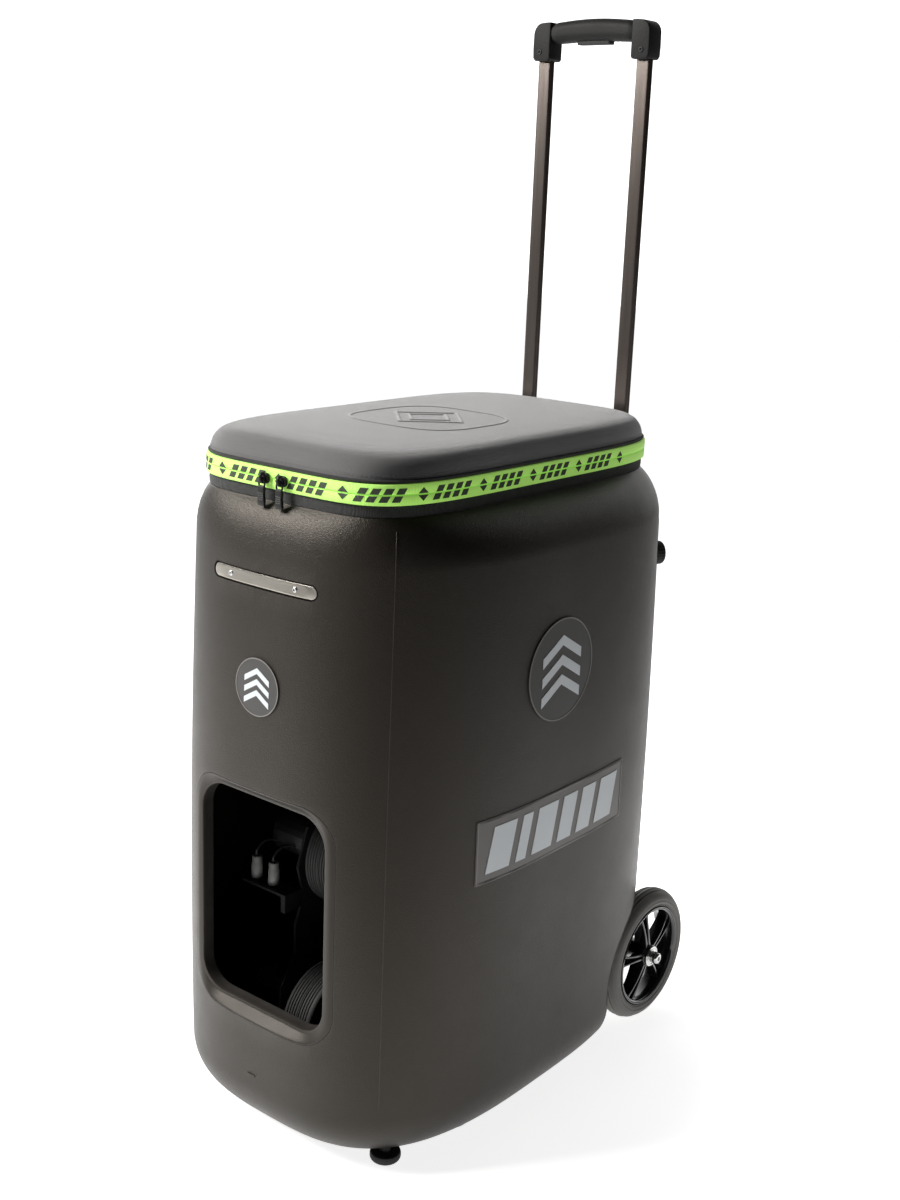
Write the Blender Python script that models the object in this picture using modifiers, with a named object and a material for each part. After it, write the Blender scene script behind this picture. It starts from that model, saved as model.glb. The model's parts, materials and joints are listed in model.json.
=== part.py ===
"""Portable tennis ball machine: rotomoulded casing, zipped soft-shell lid, telescopic
pull handle, two transport wheels, ball hopper with feed carousel, and a yawing and
pitching launcher with two throwing wheels. Metres, +Z up, front at -Y."""

import math

import bmesh
import bpy
from mathutils import Matrix, Vector

# ---------------------------------------------------------------- sizes
SHIFT_Y = -0.015075           # puts the origin under the middle of the bounding box
GAP = 0.0004                # clearance between pieces that touch

# casing plan: superellipse of exponent N, half sizes A (x) and B (y), centre YC
N = 3.08
YC = -0.0054
A_LOW, A_HIGH = 0.1665, 0.1641          # at z = 0.1 and z = 0.5
B_LOW, B_HIGH, B_BOW = 0.2407, 0.2366, 0.0032
WALL = 0.004
Z_BASE = 0.0118
FOOT_IN, FOOT_UP = 0.038, 0.0495        # bottom rounding, inwards and upwards
Z_SHOULDER, SHOULDER_UP = 0.5658, 0.050
Z_LAND = 0.6095                         # land that carries the soft band
RING = 46                               # points round the casing

# lid plan
LID_A, LID_B, LID_N, LID_Y = 0.1291, 0.2137, 4.98, -0.0110
TAPE = 0.0020                           # how far the zip tapes stand out
Z_STRIP0, Z_STRIP1 = 0.6203, 0.6379
Z_SEAM = 0.6291
Z_LID = 0.6645
HINGE_Y, HINGE_Z = 0.1925, 0.6500      # the lid's fabric hinge line
SWING, SKIRT_X = 0.0388, 0.1034          # the rear skirt of the lid swings inside this radius, and its half width

# window
WIN_W, WIN_Z0, WIN_Z1, WIN_R = 0.0878, 0.1265, 0.3552, 0.036
WIN_BEVEL, WIN_DEPTH, WIN_TUNNEL = 0.0110, 0.0098, 0.012

# handle
POLE_X, POLE_Y, POLE_W, POLE_D = 0.0585, 0.2120, 0.0150, 0.0080
Z_GRIP0, Z_GRIP_UNDER, Z_GRIP1 = 0.9965, 1.0130, 1.0355
GRIP_D = 0.0220

# road wheels
WHEEL_R, WHEEL_Y, WHEEL_X1, WHEEL_W = 0.0725, 0.2039, 0.1485, 0.0280
RIM_R = 0.0550
ARCH_A, ARCH_B, ARCH_N, ARCH_X = 0.1045, 0.0780, 2.2, 0.1045
AXLE_R = 0.0050

# launcher
YAW_Y = -0.0150
NIP_Y, NIP_Z, PITCH0 = -0.1300, 0.1720, math.radians(10)
THROW_R, THROW_D, THROW_W = 0.0500, 0.0810, 0.0350
CHEEK_X, CHEEK_T = 0.0370, 0.0030
DISC_R, DISC_Z0, DISC_Z1 = 0.1000, 0.0330, 0.0380
ROLLER_R = 0.0120

# hopper
CAR_Y, CAR_R, POCKET_R, POCKET_AT = 0.0530, 0.1040, 0.0360, 0.0680
HOP_FLOOR = 0.4000

FEET = ((0.1077, -0.1815), (-0.1077, -0.1815))
KNOB_X, KNOB_Z = 0.1000, 0.5130

# ---------------------------------------------------------------- scene
for old in list(bpy.data.objects):
    bpy.data.objects.remove(old, do_unlink=True)
for old in list(bpy.data.meshes):
    bpy.data.meshes.remove(old)

MACHINE = bpy.data.collections.new("tennis_ball_machine")
bpy.context.scene.collection.children.link(MACHINE)
CUTTERS = bpy.data.collections.new("cutters")
CUTTERS.hide_render = True
bpy.context.scene.collection.children.link(CUTTERS)


def material(name, rgb, rough, metal=0.0):
    m = bpy.data.materials.new(name)
    m.use_nodes = True
    b = m.node_tree.nodes["Principled BSDF"]
    b.inputs["Base Color"].default_value = (*rgb, 1)
    b.inputs["Roughness"].default_value = rough
    b.inputs["Metallic"].default_value = metal
    m.diffuse_color = (*rgb, 1)
    return m


M = {
    "casing": material("casing", (0.032, 0.030, 0.028), 0.55),
    "trim": material("trim", (0.050, 0.048, 0.045), 0.5),
    "lid_fabric": material("lid_fabric", (0.040, 0.039, 0.040), 0.8),
    "band_fabric": material("band_fabric", (0.006, 0.006, 0.006), 0.8),
    "zip_tape": material("zip_tape", (0.40, 0.90, 0.12), 0.6),
    "black_plastic": material("black_plastic", (0.012, 0.012, 0.012), 0.4),
    "inner_plastic": material("inner_plastic", (0.020, 0.020, 0.020), 0.5),
    "brushed_metal": material("brushed_metal", (0.55, 0.53, 0.49), 0.35, 1.0),
    "pole_metal": material("pole_metal", (0.14, 0.12, 0.11), 0.3, 1.0),
    "steel": material("steel", (0.55, 0.56, 0.57), 0.3, 1.0),
    "dark_steel": material("dark_steel", (0.06, 0.06, 0.065), 0.4, 1.0),
    "badge": material("badge", (0.09, 0.085, 0.08), 0.4),
    "tyre": material("tyre", (0.035, 0.033, 0.031), 0.8),
    "rim": material("rim", (0.008, 0.008, 0.008), 0.2),
    "chrome": material("chrome", (0.75, 0.75, 0.75), 0.12, 1.0),
    "rubber": material("rubber", (0.010, 0.010, 0.010), 0.8),
    "throw_foam": material("throw_foam", (0.055, 0.055, 0.058), 0.7),
    "motor": material("motor", (0.30, 0.30, 0.31), 0.4, 0.8),
    "connector": material("connector", (0.42, 0.42, 0.41), 0.6),
    "battery": material("battery", (0.030, 0.045, 0.090), 0.5),
    "switch": material("switch", (0.010, 0.010, 0.010), 0.3),
}


# ---------------------------------------------------------------- tools
def link(ob, slot, smooth=False, collection=None):
    (collection or MACHINE).objects.link(ob)
    if slot:
        ob.data.materials.clear()
        ob.data.materials.append(M[slot])
    for f in ob.data.polygons:
        f.use_smooth = smooth
    return ob


def from_bm(name, bm, slot=None, smooth=False, collection=None):
    bmesh.ops.recalc_face_normals(bm, faces=bm.faces)
    me = bpy.data.meshes.new(name)
    bm.to_mesh(me)
    bm.free()
    return link(bpy.data.objects.new(name, me), slot, smooth, collection)


def bake(ob):
    """Gives the object the mesh that its modifiers make."""
    graph = bpy.context.evaluated_depsgraph_get()
    graph.update()
    me = bpy.data.meshes.new_from_object(ob.evaluated_get(graph))
    old, ob.data = ob.data, me
    ob.modifiers.clear()
    bpy.data.meshes.remove(old)
    return ob


def boolean(ob, other, op="DIFFERENCE"):
    m = ob.modifiers.new("cut", "BOOLEAN")
    m.object, m.operation, m.solver = other, op, "EXACT"
    bake(ob)
    old = other.data
    bpy.data.objects.remove(other, do_unlink=True)
    if old.users == 0:
        bpy.data.meshes.remove(old)
    return ob


def bevel(ob, width, segments=2, angle=40):
    m = ob.modifiers.new("edge", "BEVEL")
    m.width, m.segments, m.limit_method = width, segments, "ANGLE"
    m.angle_limit = math.radians(angle)
    return bake(ob)


def box(name, lo, hi, slot=None, edge=0.0, segments=2, smooth=False):
    bm = bmesh.new()
    bmesh.ops.create_cube(bm, size=1)
    for v in bm.verts:
        v.co = Vector([(l + h) / 2 + c * (h - l) for l, h, c in zip(lo, hi, v.co)])
    ob = from_bm(name, bm, slot, smooth)
    return bevel(ob, edge, segments) if edge else ob


def cyl(name, p0, p1, r, slot=None, seg=32, r1=None, smooth=True):
    p0, p1 = Vector(p0), Vector(p1)
    d = p1 - p0
    at = Matrix.Translation((p0 + p1) / 2) @ d.to_track_quat("Z", "Y").to_matrix().to_4x4()
    bm = bmesh.new()
    bmesh.ops.create_cone(bm, cap_ends=True, segments=seg, radius1=r,
                          radius2=r if r1 is None else r1, depth=d.length, matrix=at)
    return from_bm(name, bm, slot, smooth)


def prism(name, points, axis, lo, hi, slot=None, edge=0.0, smooth=False):
    """A flat outline given in the two other axes, in X, Y, Z order, extruded along axis."""
    bm = bmesh.new()
    def at(p, t):
        return {"x": (t, p[0], p[1]), "y": (p[0], t, p[1]), "z": (p[0], p[1], t)}[axis]
    face = bm.faces.new([bm.verts.new(at(p, lo)) for p in points])
    made = bmesh.ops.extrude_face_region(bm, geom=[face])["geom"]
    shift = {"x": (hi - lo, 0, 0), "y": (0, hi - lo, 0), "z": (0, 0, hi - lo)}[axis]
    bmesh.ops.translate(bm, verts=[v for v in made if isinstance(v, bmesh.types.BMVert)], vec=shift)
    ob = from_bm(name, bm, slot, smooth)
    return bevel(ob, edge) if edge else ob


def turned(name, profile, origin, axis, slot=None, steps=40, closed=False, smooth=True):
    """A profile of (radius, height) points turned about axis through origin."""
    bm = bmesh.new()
    vs = [bm.verts.new((r, 0, h)) for r, h in profile]
    for a, b in zip(vs, vs[1:] + vs[:1] if closed else vs[1:]):
        bm.edges.new((a, b))
    me = bpy.data.meshes.new(name)
    bm.to_mesh(me)
    bm.free()
    ob = link(bpy.data.objects.new(name, me), None)
    m = ob.modifiers.new("turn", "SCREW")
    m.steps = m.render_steps = steps
    m.use_merge_vertices, m.merge_threshold = True, 1e-5
    m.use_normal_calculate = True
    bake(ob)
    bm = bmesh.new()
    bm.from_mesh(ob.data)
    bmesh.ops.remove_doubles(bm, verts=bm.verts, dist=1e-6)
    bmesh.ops.dissolve_degenerate(bm, edges=bm.edges, dist=1e-7)
    turn = Vector(axis).normalized().to_track_quat("Z", "Y").to_matrix().to_4x4()
    bmesh.ops.transform(bm, matrix=Matrix.Translation(origin) @ turn, verts=bm.verts)
    bmesh.ops.recalc_face_normals(bm, faces=bm.faces)
    bm.to_mesh(ob.data)
    bm.free()
    ob.data.materials.clear()
    if slot:
        ob.data.materials.append(M[slot])
    for f in ob.data.polygons:
        f.use_smooth = smooth
    return ob


def loft(name, rings, slot=None, closed=False, smooth=True):
    """Quads between rings of equal count, capped at both ends, or joined end to end."""
    bm = bmesh.new()
    vs = [[bm.verts.new(p) for p in ring] for ring in rings]
    pairs = list(zip(vs, vs[1:]))
    if closed:
        pairs.append((vs[-1], vs[0]))
    for a, b in pairs:
        for i in range(len(a)):
            j = (i + 1) % len(a)
            bm.faces.new((a[i], a[j], b[j], b[i]))
    if not closed:
        bm.faces.new(vs[0][::-1])
        bm.faces.new(vs[-1])
    return from_bm(name, bm, slot, smooth)


def origin(ob, at):
    """Puts the object's origin on its joint's axis."""
    at = Vector(at)
    ob.data.transform(Matrix.Translation(-at))
    ob.location = at
    return ob


def rounded_rect(hw, hh, r, n=6):
    pts = []
    for cx, cy, a0 in ((hw - r, hh - r, 0), (-hw + r, hh - r, 90), (-hw + r, -hh + r, 180), (hw - r, -hh + r, 270)):
        for i in range(n + 1):
            t = math.radians(a0 + 90 * i / n)
            pts.append((cx + r * math.cos(t), cy + r * math.sin(t)))
    return pts


# ---------------------------------------------------------------- casing surface
def a_of(z):
    return A_LOW + (A_HIGH - A_LOW) * (z - 0.1) / 0.4


def b_of(z):
    t = (z - 0.1) / 0.4
    return B_LOW + (B_HIGH - B_LOW) * t + 4 * B_BOW * t * (1 - t)


def front_y(x, z, sign=-1):
    return YC + sign * b_of(z) * (1 - min(abs(x) / a_of(z), 0.999) ** N) ** (1 / N)


def side_x(y, z):
    return a_of(z) * (1 - min(abs(y - YC) / b_of(z), 0.999) ** N) ** (1 / N)


PHI = []
for k in range(RING):
    t = 2 * math.pi * (k + 0.5) / RING
    c, s = math.cos(t), math.sin(t)
    PHI.append(math.atan2(0.24 * math.copysign(abs(s) ** (2 / N), s), 0.165 * math.copysign(abs(c) ** (2 / N), c)))


def plan(a, b, n, yc, z):
    out = []
    for p in PHI:
        r = (abs(math.cos(p) / a) ** n + abs(math.sin(p) / b) ** n) ** (-1 / n)
        out.append((r * math.cos(p), yc + r * math.sin(p), z))
    return out


def mix(p, q, f, z):
    return [(u[0] * (1 - f) + v[0] * f, u[1] * (1 - f) + v[1] * f, z) for u, v in zip(p, q)]


def casing_rings(off):
    """Rings of the casing's skin, off metres inside it, from the flat bottom to the land."""
    rings = []
    z0, z1 = Z_BASE + off, Z_BASE + FOOT_UP
    steps = 4
    for i in range(steps + 1):
        u = math.pi / 2 * i / steps
        z = z0 + (z1 - z0) * (1 - math.cos(u))
        ins = FOOT_IN * (1 - math.sin(u)) + off
        rings.append(plan(a_of(z) - ins, b_of(z) - ins, N, YC, z))
    for z in (0.20, 0.32, 0.44, Z_SHOULDER):
        rings.append(plan(a_of(z) - off, b_of(z) - off, N, YC, z))
    top = math.asin(0.864)
    for i in range(1, 6):
        u = top * i / 5
        z = Z_SHOULDER + SHOULDER_UP * math.sin(u) - off * (1 - math.cos(u)) * 2
        g = (1 - math.cos(u)) / (1 - math.cos(top))
        zz = min(z, Z_SHOULDER + 0.01)
        base = plan(a_of(zz) - off, b_of(zz) - off, N, YC, z)
        lid = plan(LID_A - TAPE - GAP - off, LID_B - TAPE - GAP - off, LID_N, LID_Y, z)
        rings.append(mix(base, lid, g, z))
    return rings


rings = casing_rings(0)
land = plan(LID_A - 0.0100, LID_B - 0.0100, LID_N, LID_Y, Z_LAND)
rings.append(land)
body = loft("body_shell", rings, "casing")

inner = casing_rings(WALL)
inner.append(plan(LID_A - 0.0100, LID_B - 0.0100, LID_N, LID_Y, Z_LAND - WALL))
inner.append(plan(LID_A - 0.0100, LID_B - 0.0100, LID_N, LID_Y, Z_LAND + 0.03))
cavity = loft("cavity", inner)


def arch_outline(grow):
    """The wheel arch in Y and Z: a flattened half oval over the axle, straight down below it."""
    pts = []
    for i in range(25):
        t = math.radians(-8 + 196 * i / 24)
        c, v = math.cos(t), math.sin(t)
        pts.append((WHEEL_Y + (ARCH_A + grow) * math.copysign(abs(c) ** (2 / ARCH_N), c),
                    WHEEL_R + (ARCH_B + grow) * math.copysign(abs(v) ** (2 / ARCH_N), v)))
    return pts + [(pts[-1][0], -0.05), (pts[0][0], -0.05)]


for s in (-1, 1):
    boolean(cavity, prism("arch_liner", arch_outline(WALL), "x", *sorted((s * (ARCH_X - WALL), s * 0.22))))
boolean(body, cavity)
for s in (-1, 1):
    boolean(body, prism("arch", arch_outline(0), "x", *sorted((s * ARCH_X, s * 0.22))))
    boolean(body, cyl("axle_hole", (s * 0.09, WHEEL_Y, WHEEL_R), (s * 0.12, WHEEL_Y, WHEEL_R), AXLE_R + GAP, seg=20))

# window opening
win_cz, win_hh = (WIN_Z0 + WIN_Z1) / 2, (WIN_Z1 - WIN_Z0) / 2


def win_outline(inset, n=5):
    return [(x, z + win_cz) for x, z in rounded_rect(WIN_W - inset, win_hh - inset, WIN_R - inset * 0.75, n)]


boolean(body, prism("window_cut", win_outline(-0.0003), "y", -0.30, -0.17))

# window frame: outer edge on the casing's skin, then a bevel inwards, a lip and a short tunnel
y_in = front_y(0, win_cz) + WIN_DEPTH
skin = [(x, front_y(x, z) - 0.0002, z) for x, z in win_outline(0.0002)]
trim = [
    skin,
    [(x, y_in, z) for x, z in win_outline(WIN_BEVEL * 0.72)],
    [(x, y_in - 0.0003, z) for x, z in win_outline(WIN_BEVEL * 0.80)],
    [(x, y_in + 0.0005, z) for x, z in win_outline(WIN_BEVEL)],
    [(x, y_in + 0.0030, z) for x, z in win_outline(WIN_BEVEL + 0.0006)],
    [(x, y_in + WIN_TUNNEL, z) for x, z in win_outline(WIN_BEVEL + 0.0006)],
    [(x, y_in + WIN_TUNNEL, z) for x, z in win_outline(WIN_BEVEL * 0.70)],
    [(x, y_in + 0.0045, z) for x, z in win_outline(0.0002)],
]
loft("window_trim", trim, "trim", closed=True, smooth=False)


# ---------------------------------------------------------------- plates on the skin
def layer(name, outline, s, low, high, slot=None):
    """A plate on the casing, from low to high above its skin: s is 0 on the front, -1 or 1 on a side."""
    if s == 0:
        ob = prism(name, outline, "y", -0.30, -0.18, slot)
    else:
        ob = prism(name, outline, "x", min(s * 0.12, s * 0.20), max(s * 0.12, s * 0.20), slot)
    boolean(ob, loft("over", casing_rings(-high)), "INTERSECT")
    boolean(ob, loft("under", casing_rings(-low)))
    ob.data.materials.clear()
    if slot:
        ob.data.materials.append(M[slot])
    return ob


def on_front(x, z, t):
    return (x, front_y(x, z) - t, z)


def shifted(points, cx, cy):
    return [(x + cx, y + cy) for x, y in points]


def circle(cx, cy, r, n=28):
    return [(cx + r * math.cos(2 * math.pi * i / n), cy + r * math.sin(2 * math.pi * i / n)) for i in range(n)]


# front aluminium strip in a shallow slot
STRIP_Z, STRIP_L, STRIP_H = 0.5434, 0.0610, 0.0056
boolean(body, layer("slot", shifted(rounded_rect(STRIP_L + 0.0016, STRIP_H + 0.0016, STRIP_H + 0.0015, 4), 0, STRIP_Z), 0, -0.0026, 0.010))
layer("front_strip", shifted(rounded_rect(STRIP_L, STRIP_H, STRIP_H - 0.0001, 4), 0, STRIP_Z), 0, -0.0022, -0.0004, "brushed_metal")
for s, side in ((-1, "left"), (1, "right")):
    x = s * 0.0385
    p = Vector(on_front(x, STRIP_Z, 0))
    cyl("strip_screw_" + side, p + Vector((0, -0.0001, 0)), p + Vector((0, -0.0011, 0)), 0.0024, "steel", seg=16)

# badges
layer("front_badge", circle(0, 0.4500, 0.0262), 0, 0.0003, 0.0015, "badge")
for s, side in ((-1, "left"), (1, "right")):
    layer("side_badge_" + side, circle(-0.0250, 0.4553, 0.0486, 36), s, 0.0003, 0.0016, "badge")
    layer("side_plate_" + side, shifted(rounded_rect(0.1130, 0.0306, 0.0015, 2), -0.0180, 0.3058), s, 0.0003, 0.0016, "badge")


# ---------------------------------------------------------------- soft band, tapes, lid
def tube_ring(name, a, b, thick, z0, z1, slot, n=LID_N, yc=LID_Y):
    return loft(name, [plan(a, b, n, yc, z0), plan(a, b, n, yc, z1),
                       plan(a - thick, b - thick, n, yc, z1), plan(a - thick, b - thick, n, yc, z0)], slot, closed=True)


wa, wb = LID_A - TAPE - GAP, LID_B - TAPE - GAP
band = tube_ring("lid_band", wa, wb, 0.0030, Z_LAND + GAP, Z_SEAM - GAP / 2, "band_fabric")
tape = tube_ring("base_zip_tape", LID_A, LID_B, TAPE, Z_STRIP0, Z_SEAM - GAP / 2, "zip_tape")
for ob in (band, tape):
    boolean(ob, cyl("swing_cut", (-SKIRT_X - 0.0006, HINGE_Y, HINGE_Z), (SKIRT_X + 0.0006, HINGE_Y, HINGE_Z), SWING + 0.0006, seg=64))
tape = tube_ring("lid_zip_tape", LID_A, LID_B, TAPE, Z_SEAM + GAP / 2, Z_STRIP1, "zip_tape")
boolean(tape, box("tape_end", (-SKIRT_X - 0.0006, 0.1600, 0.60), (SKIRT_X + 0.0006, 0.2300, 0.66)))
origin(tape, (0, HINGE_Y, HINGE_Z))

lid_profile = ((0.0, Z_SEAM + GAP / 2), (0.0, 0.6385), (0.0012, 0.6475), (0.0042, 0.6545),
               (0.0094, 0.6594), (0.0190, 0.6621), (0.0450, 0.6636), (0.0950, Z_LID))
outer_l = [plan(wa - i, wb - i, LID_N - 2.2 * i / 0.095, LID_Y, z) for i, z in lid_profile]
inner_l = [plan(wa - i - 0.003 - (0.001 if i > 0.09 else 0), wb - i - 0.003, LID_N - 2.2 * i / 0.095, LID_Y, z - (0.0 if k == 0 else 0.003))
           for k, (i, z) in enumerate(lid_profile)]
lid = loft("lid_shell", outer_l + [], "lid_fabric")
inside = loft("lid_inside", [plan(wa - 0.003, wb - 0.003, LID_N, LID_Y, Z_SEAM - 0.01)] + inner_l[1:])
boolean(lid, inside)
# the rear skirt, below the seam, where the zip stops and the fabric hinge begins
skirt = tube_ring("skirt", wa, wb, 0.0030, Z_LAND + 0.0010, Z_SEAM + 0.0020, None)
boolean(skirt, cyl("swing", (-SKIRT_X, HINGE_Y, HINGE_Z), (SKIRT_X, HINGE_Y, HINGE_Z), SWING, seg=64), "INTERSECT")
boolean(lid, skirt, "UNION")
lid.data.materials.clear()
lid.data.materials.append(M["lid_fabric"])
origin(lid, (0, HINGE_Y, HINGE_Z))

# zip sliders and their pulls, parked together at the middle of the front
SLIDER_Y = LID_Y - LID_B
for s, side in ((-1, "left"), (1, "right")):
    cx = s * 0.0105
    y0 = SLIDER_Y - 0.0006
    slider = prism("zip_slider_" + side, [(cx - 0.0045, 0.6255), (cx - 0.0056, 0.6290), (cx - 0.0045, 0.6330),
                                          (cx + 0.0045, 0.6330), (cx + 0.0056, 0.6290), (cx + 0.0045, 0.6255)],
                   "y", y0 - 0.0032, y0, "black_plastic", edge=0.0007)
    # the bail: a small loop across the slider's face, over the pull's pin
    bail = box("bail", (cx - 0.0022, y0 - 0.0070, 0.6262), (cx + 0.0022, y0 - 0.0025, 0.6325), edge=0.0008)
    boolean(slider, bail, "UNION")
    boolean(slider, box("bail_hole", (cx - 0.01, y0 - 0.0057, 0.6276), (cx + 0.01, y0 - 0.0037, 0.6312)))
    # the pull: a pin through the bail, two cheeks and a moulded tab
    py, pz = y0 - 0.0047, 0.6288
    pull = box("zip_pull_" + side, (cx - 0.0041, py - 0.0014, 0.6055), (cx + 0.0041, py + 0.0014, 0.6240), edge=0.0010)
    for q in (-1, 1):
        boolean(pull, box("ear", (cx + min(q * 0.0026, q * 0.0041), py - 0.0008, 0.6225),
                          (cx + max(q * 0.0026, q * 0.0041), py + 0.0008, pz + 0.0011)), "UNION")
    boolean(pull, cyl("pin", (cx - 0.0034, py, pz), (cx + 0.0034, py, pz), 0.0006, seg=10), "UNION")
    pull.data.materials.clear()
    pull.data.materials.append(M["black_plastic"])
    origin(slider, (cx, y0, Z_SEAM))
    origin(pull, (cx, py, pz))

# ---------------------------------------------------------------- hopper and feed
hop = []
for z, f in ((0.6060, 0.0), (0.5600, 0.0), (0.5000, 0.25), (0.4500, 0.70), (0.4250, 1.0), (HOP_FLOOR, 1.0)):
    rim = plan(0.1165, 0.2020, 4.2, LID_Y + 0.0005, z)
    low = [((CAR_R + 0.0050) * math.cos(p), CAR_Y + (CAR_R + 0.0050) * math.sin(p), z) for p in
           [math.atan2(q[1] - LID_Y, q[0]) for q in rim]]
    hop.append(mix(rim, low, f, z))
# rear of the hopper stays clear of the handle's guide tubes
hop = [[(x, min(y, 0.1935), z) for x, y, z in ring] for ring in hop]
thick = 0.0030


def shrink(ring, t, z):
    out = []
    for i, p in enumerate(ring):
        q, r = Vector(ring[i - 1][:2]), Vector(ring[(i + 1) % len(ring)][:2])
        d = (r - q).normalized()
        out.append((p[0] - d.y * t, p[1] + d.x * t, z))
    return out


hopper = loft("hopper", hop[::-1], "inner_plastic")
# the drop tube is moulded onto the floor, under the feed hole
boolean(hopper, cyl("drop_tube", (0, YAW_Y, HOP_FLOOR - 0.0640), (0, YAW_Y, HOP_FLOOR + 0.0015), 0.0400, seg=40), "UNION")
hop_in = [shrink(r, thick, r[0][2]) for r in hop]
hop_in = [[(p[0], p[1], 0.64) for p in hop_in[0]]] + hop_in[:-1] + [[(p[0], p[1], HOP_FLOOR + thick) for p in hop_in[-1]]]
boolean(hopper, loft("hop_in", hop_in[::-1]))
boolean(hopper, cyl("feed_hole", (0, YAW_Y, HOP_FLOOR - 0.08), (0, YAW_Y, HOP_FLOOR + 0.02), POCKET_R + 0.0005, seg=40))
boolean(hopper, cyl("shaft_hole", (0, CAR_Y, HOP_FLOOR - 0.01), (0, CAR_Y, HOP_FLOOR + 0.02), 0.0050, seg=20))

# carousel: five open pockets, a domed cap and a shaft down through the floor
car0, car1 = HOP_FLOOR + thick + 0.0006, HOP_FLOOR + thick + 0.0300
carousel = cyl("feed_carousel", (0, CAR_Y, car0), (0, CAR_Y, car1), CAR_R - 0.0040, "black_plastic", seg=50)
for k in range(5):
    t = math.radians(-90 + 72 * k)
    boolean(carousel, cyl("pocket", (POCKET_AT * math.cos(t), CAR_Y + POCKET_AT * math.sin(t), car0 - 0.01),
                          (POCKET_AT * math.cos(t), CAR_Y + POCKET_AT * math.sin(t), car1 + 0.01), POCKET_R, seg=22))
boolean(carousel, cyl("cap", (0, CAR_Y, car1 - 0.002), (0, CAR_Y, car1 + 0.020), 0.0260, r1=0.0080, seg=22), "UNION")
boolean(carousel, cyl("shaft", (0, CAR_Y, HOP_FLOOR - 0.0030), (0, CAR_Y, car0 + 0.002), 0.0040, seg=14), "UNION")
origin(carousel, (0, CAR_Y, HOP_FLOOR))

turned("feed_motor", [(0, HOP_FLOOR - 0.0034), (0.0225, HOP_FLOOR - 0.0034), (0.0235, HOP_FLOOR - 0.0044),
                      (0.0235, HOP_FLOOR - 0.0260), (0.0190, HOP_FLOOR - 0.0270), (0.0190, HOP_FLOOR - 0.0640),
                      (0.0175, HOP_FLOOR - 0.0655), (0, HOP_FLOOR - 0.0655)], (0, CAR_Y, 0), (0, 0, 1), "motor", 22)
# ---------------------------------------------------------------- chassis, battery, skid
chassis = prism("chassis_plate", [(0.125 * math.copysign(abs(math.cos(t)) ** (2 / 3), math.cos(t)),
                                   YC + 0.195 * math.copysign(abs(math.sin(t)) ** (2 / 3), math.sin(t)))
                                  for t in [2 * math.pi * (i + 0.5) / 48 for i in range(48)]],
                "z", 0.0165, 0.0195, "dark_steel")
for q in (-1, 1):
    boolean(chassis, box("wheel_room", (min(q * 0.0990, q * 0.16), 0.0930, 0.01), (max(q * 0.0990, q * 0.16), 0.26, 0.03)))
boolean(chassis, cyl("post", (0, YAW_Y, 0.0180), (0, YAW_Y, DISC_Z0 - GAP), 0.030, seg=32), "UNION")
boolean(chassis, cyl("bearing", (0, YAW_Y, 0.0210), (0, YAW_Y, 0.050), 0.0124, seg=32))
box("battery", (-0.0880, 0.0960, 0.0200), (0.0880, 0.1720, 0.1850), "battery", edge=0.004)
prism("skid_plate", shifted(rounded_rect(0.1340, 0.1300, 0.030, 4), 0, 0.0050), "z", 0.0066, Z_BASE - GAP, "dark_steel", edge=0.0012)

# ---------------------------------------------------------------- launcher
def tilt(u, v):
    """A point of the throwing frame, u along the throw and v above it, in Y and Z."""
    return (NIP_Y - u * math.cos(PITCH0) + v * math.sin(PITCH0), NIP_Z + u * math.sin(PITCH0) + v * math.cos(PITCH0))


turret = cyl("turret_base", (0, YAW_Y, DISC_Z0), (0, YAW_Y, DISC_Z1), DISC_R, "dark_steel", seg=48, smooth=False)
boolean(turret, cyl("spindle", (0, YAW_Y, 0.0220), (0, YAW_Y, DISC_Z0 + 0.002), 0.0120, seg=32), "UNION")
UP_X, UP_T = CHEEK_X + CHEEK_T + 0.0020, 0.0040
for s in (-1, 1):
    x0, x1 = sorted((s * UP_X, s * (UP_X + UP_T)))
    up = prism("upright", [(-0.1040, DISC_Z1 - 0.002), (-0.0700, DISC_Z1 - 0.002), (-0.0700, 0.176), (-0.0800, 0.1860), (-0.1340, 0.1860),
                           (-0.1440, 0.1760), (-0.1440, 0.1660), (-0.1360, 0.1580), (-0.1040, 0.1500)], "x", x0, x1)
    boolean(up, cyl("trunnion_hole", (s * 0.03, NIP_Y, NIP_Z), (s * 0.06, NIP_Y, NIP_Z), 0.0053, seg=24))
    boolean(turret, up, "UNION")
turret.data.materials.clear()
turret.data.materials.append(M["dark_steel"])
origin(turret, (0, YAW_Y, DISC_Z0))

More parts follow.
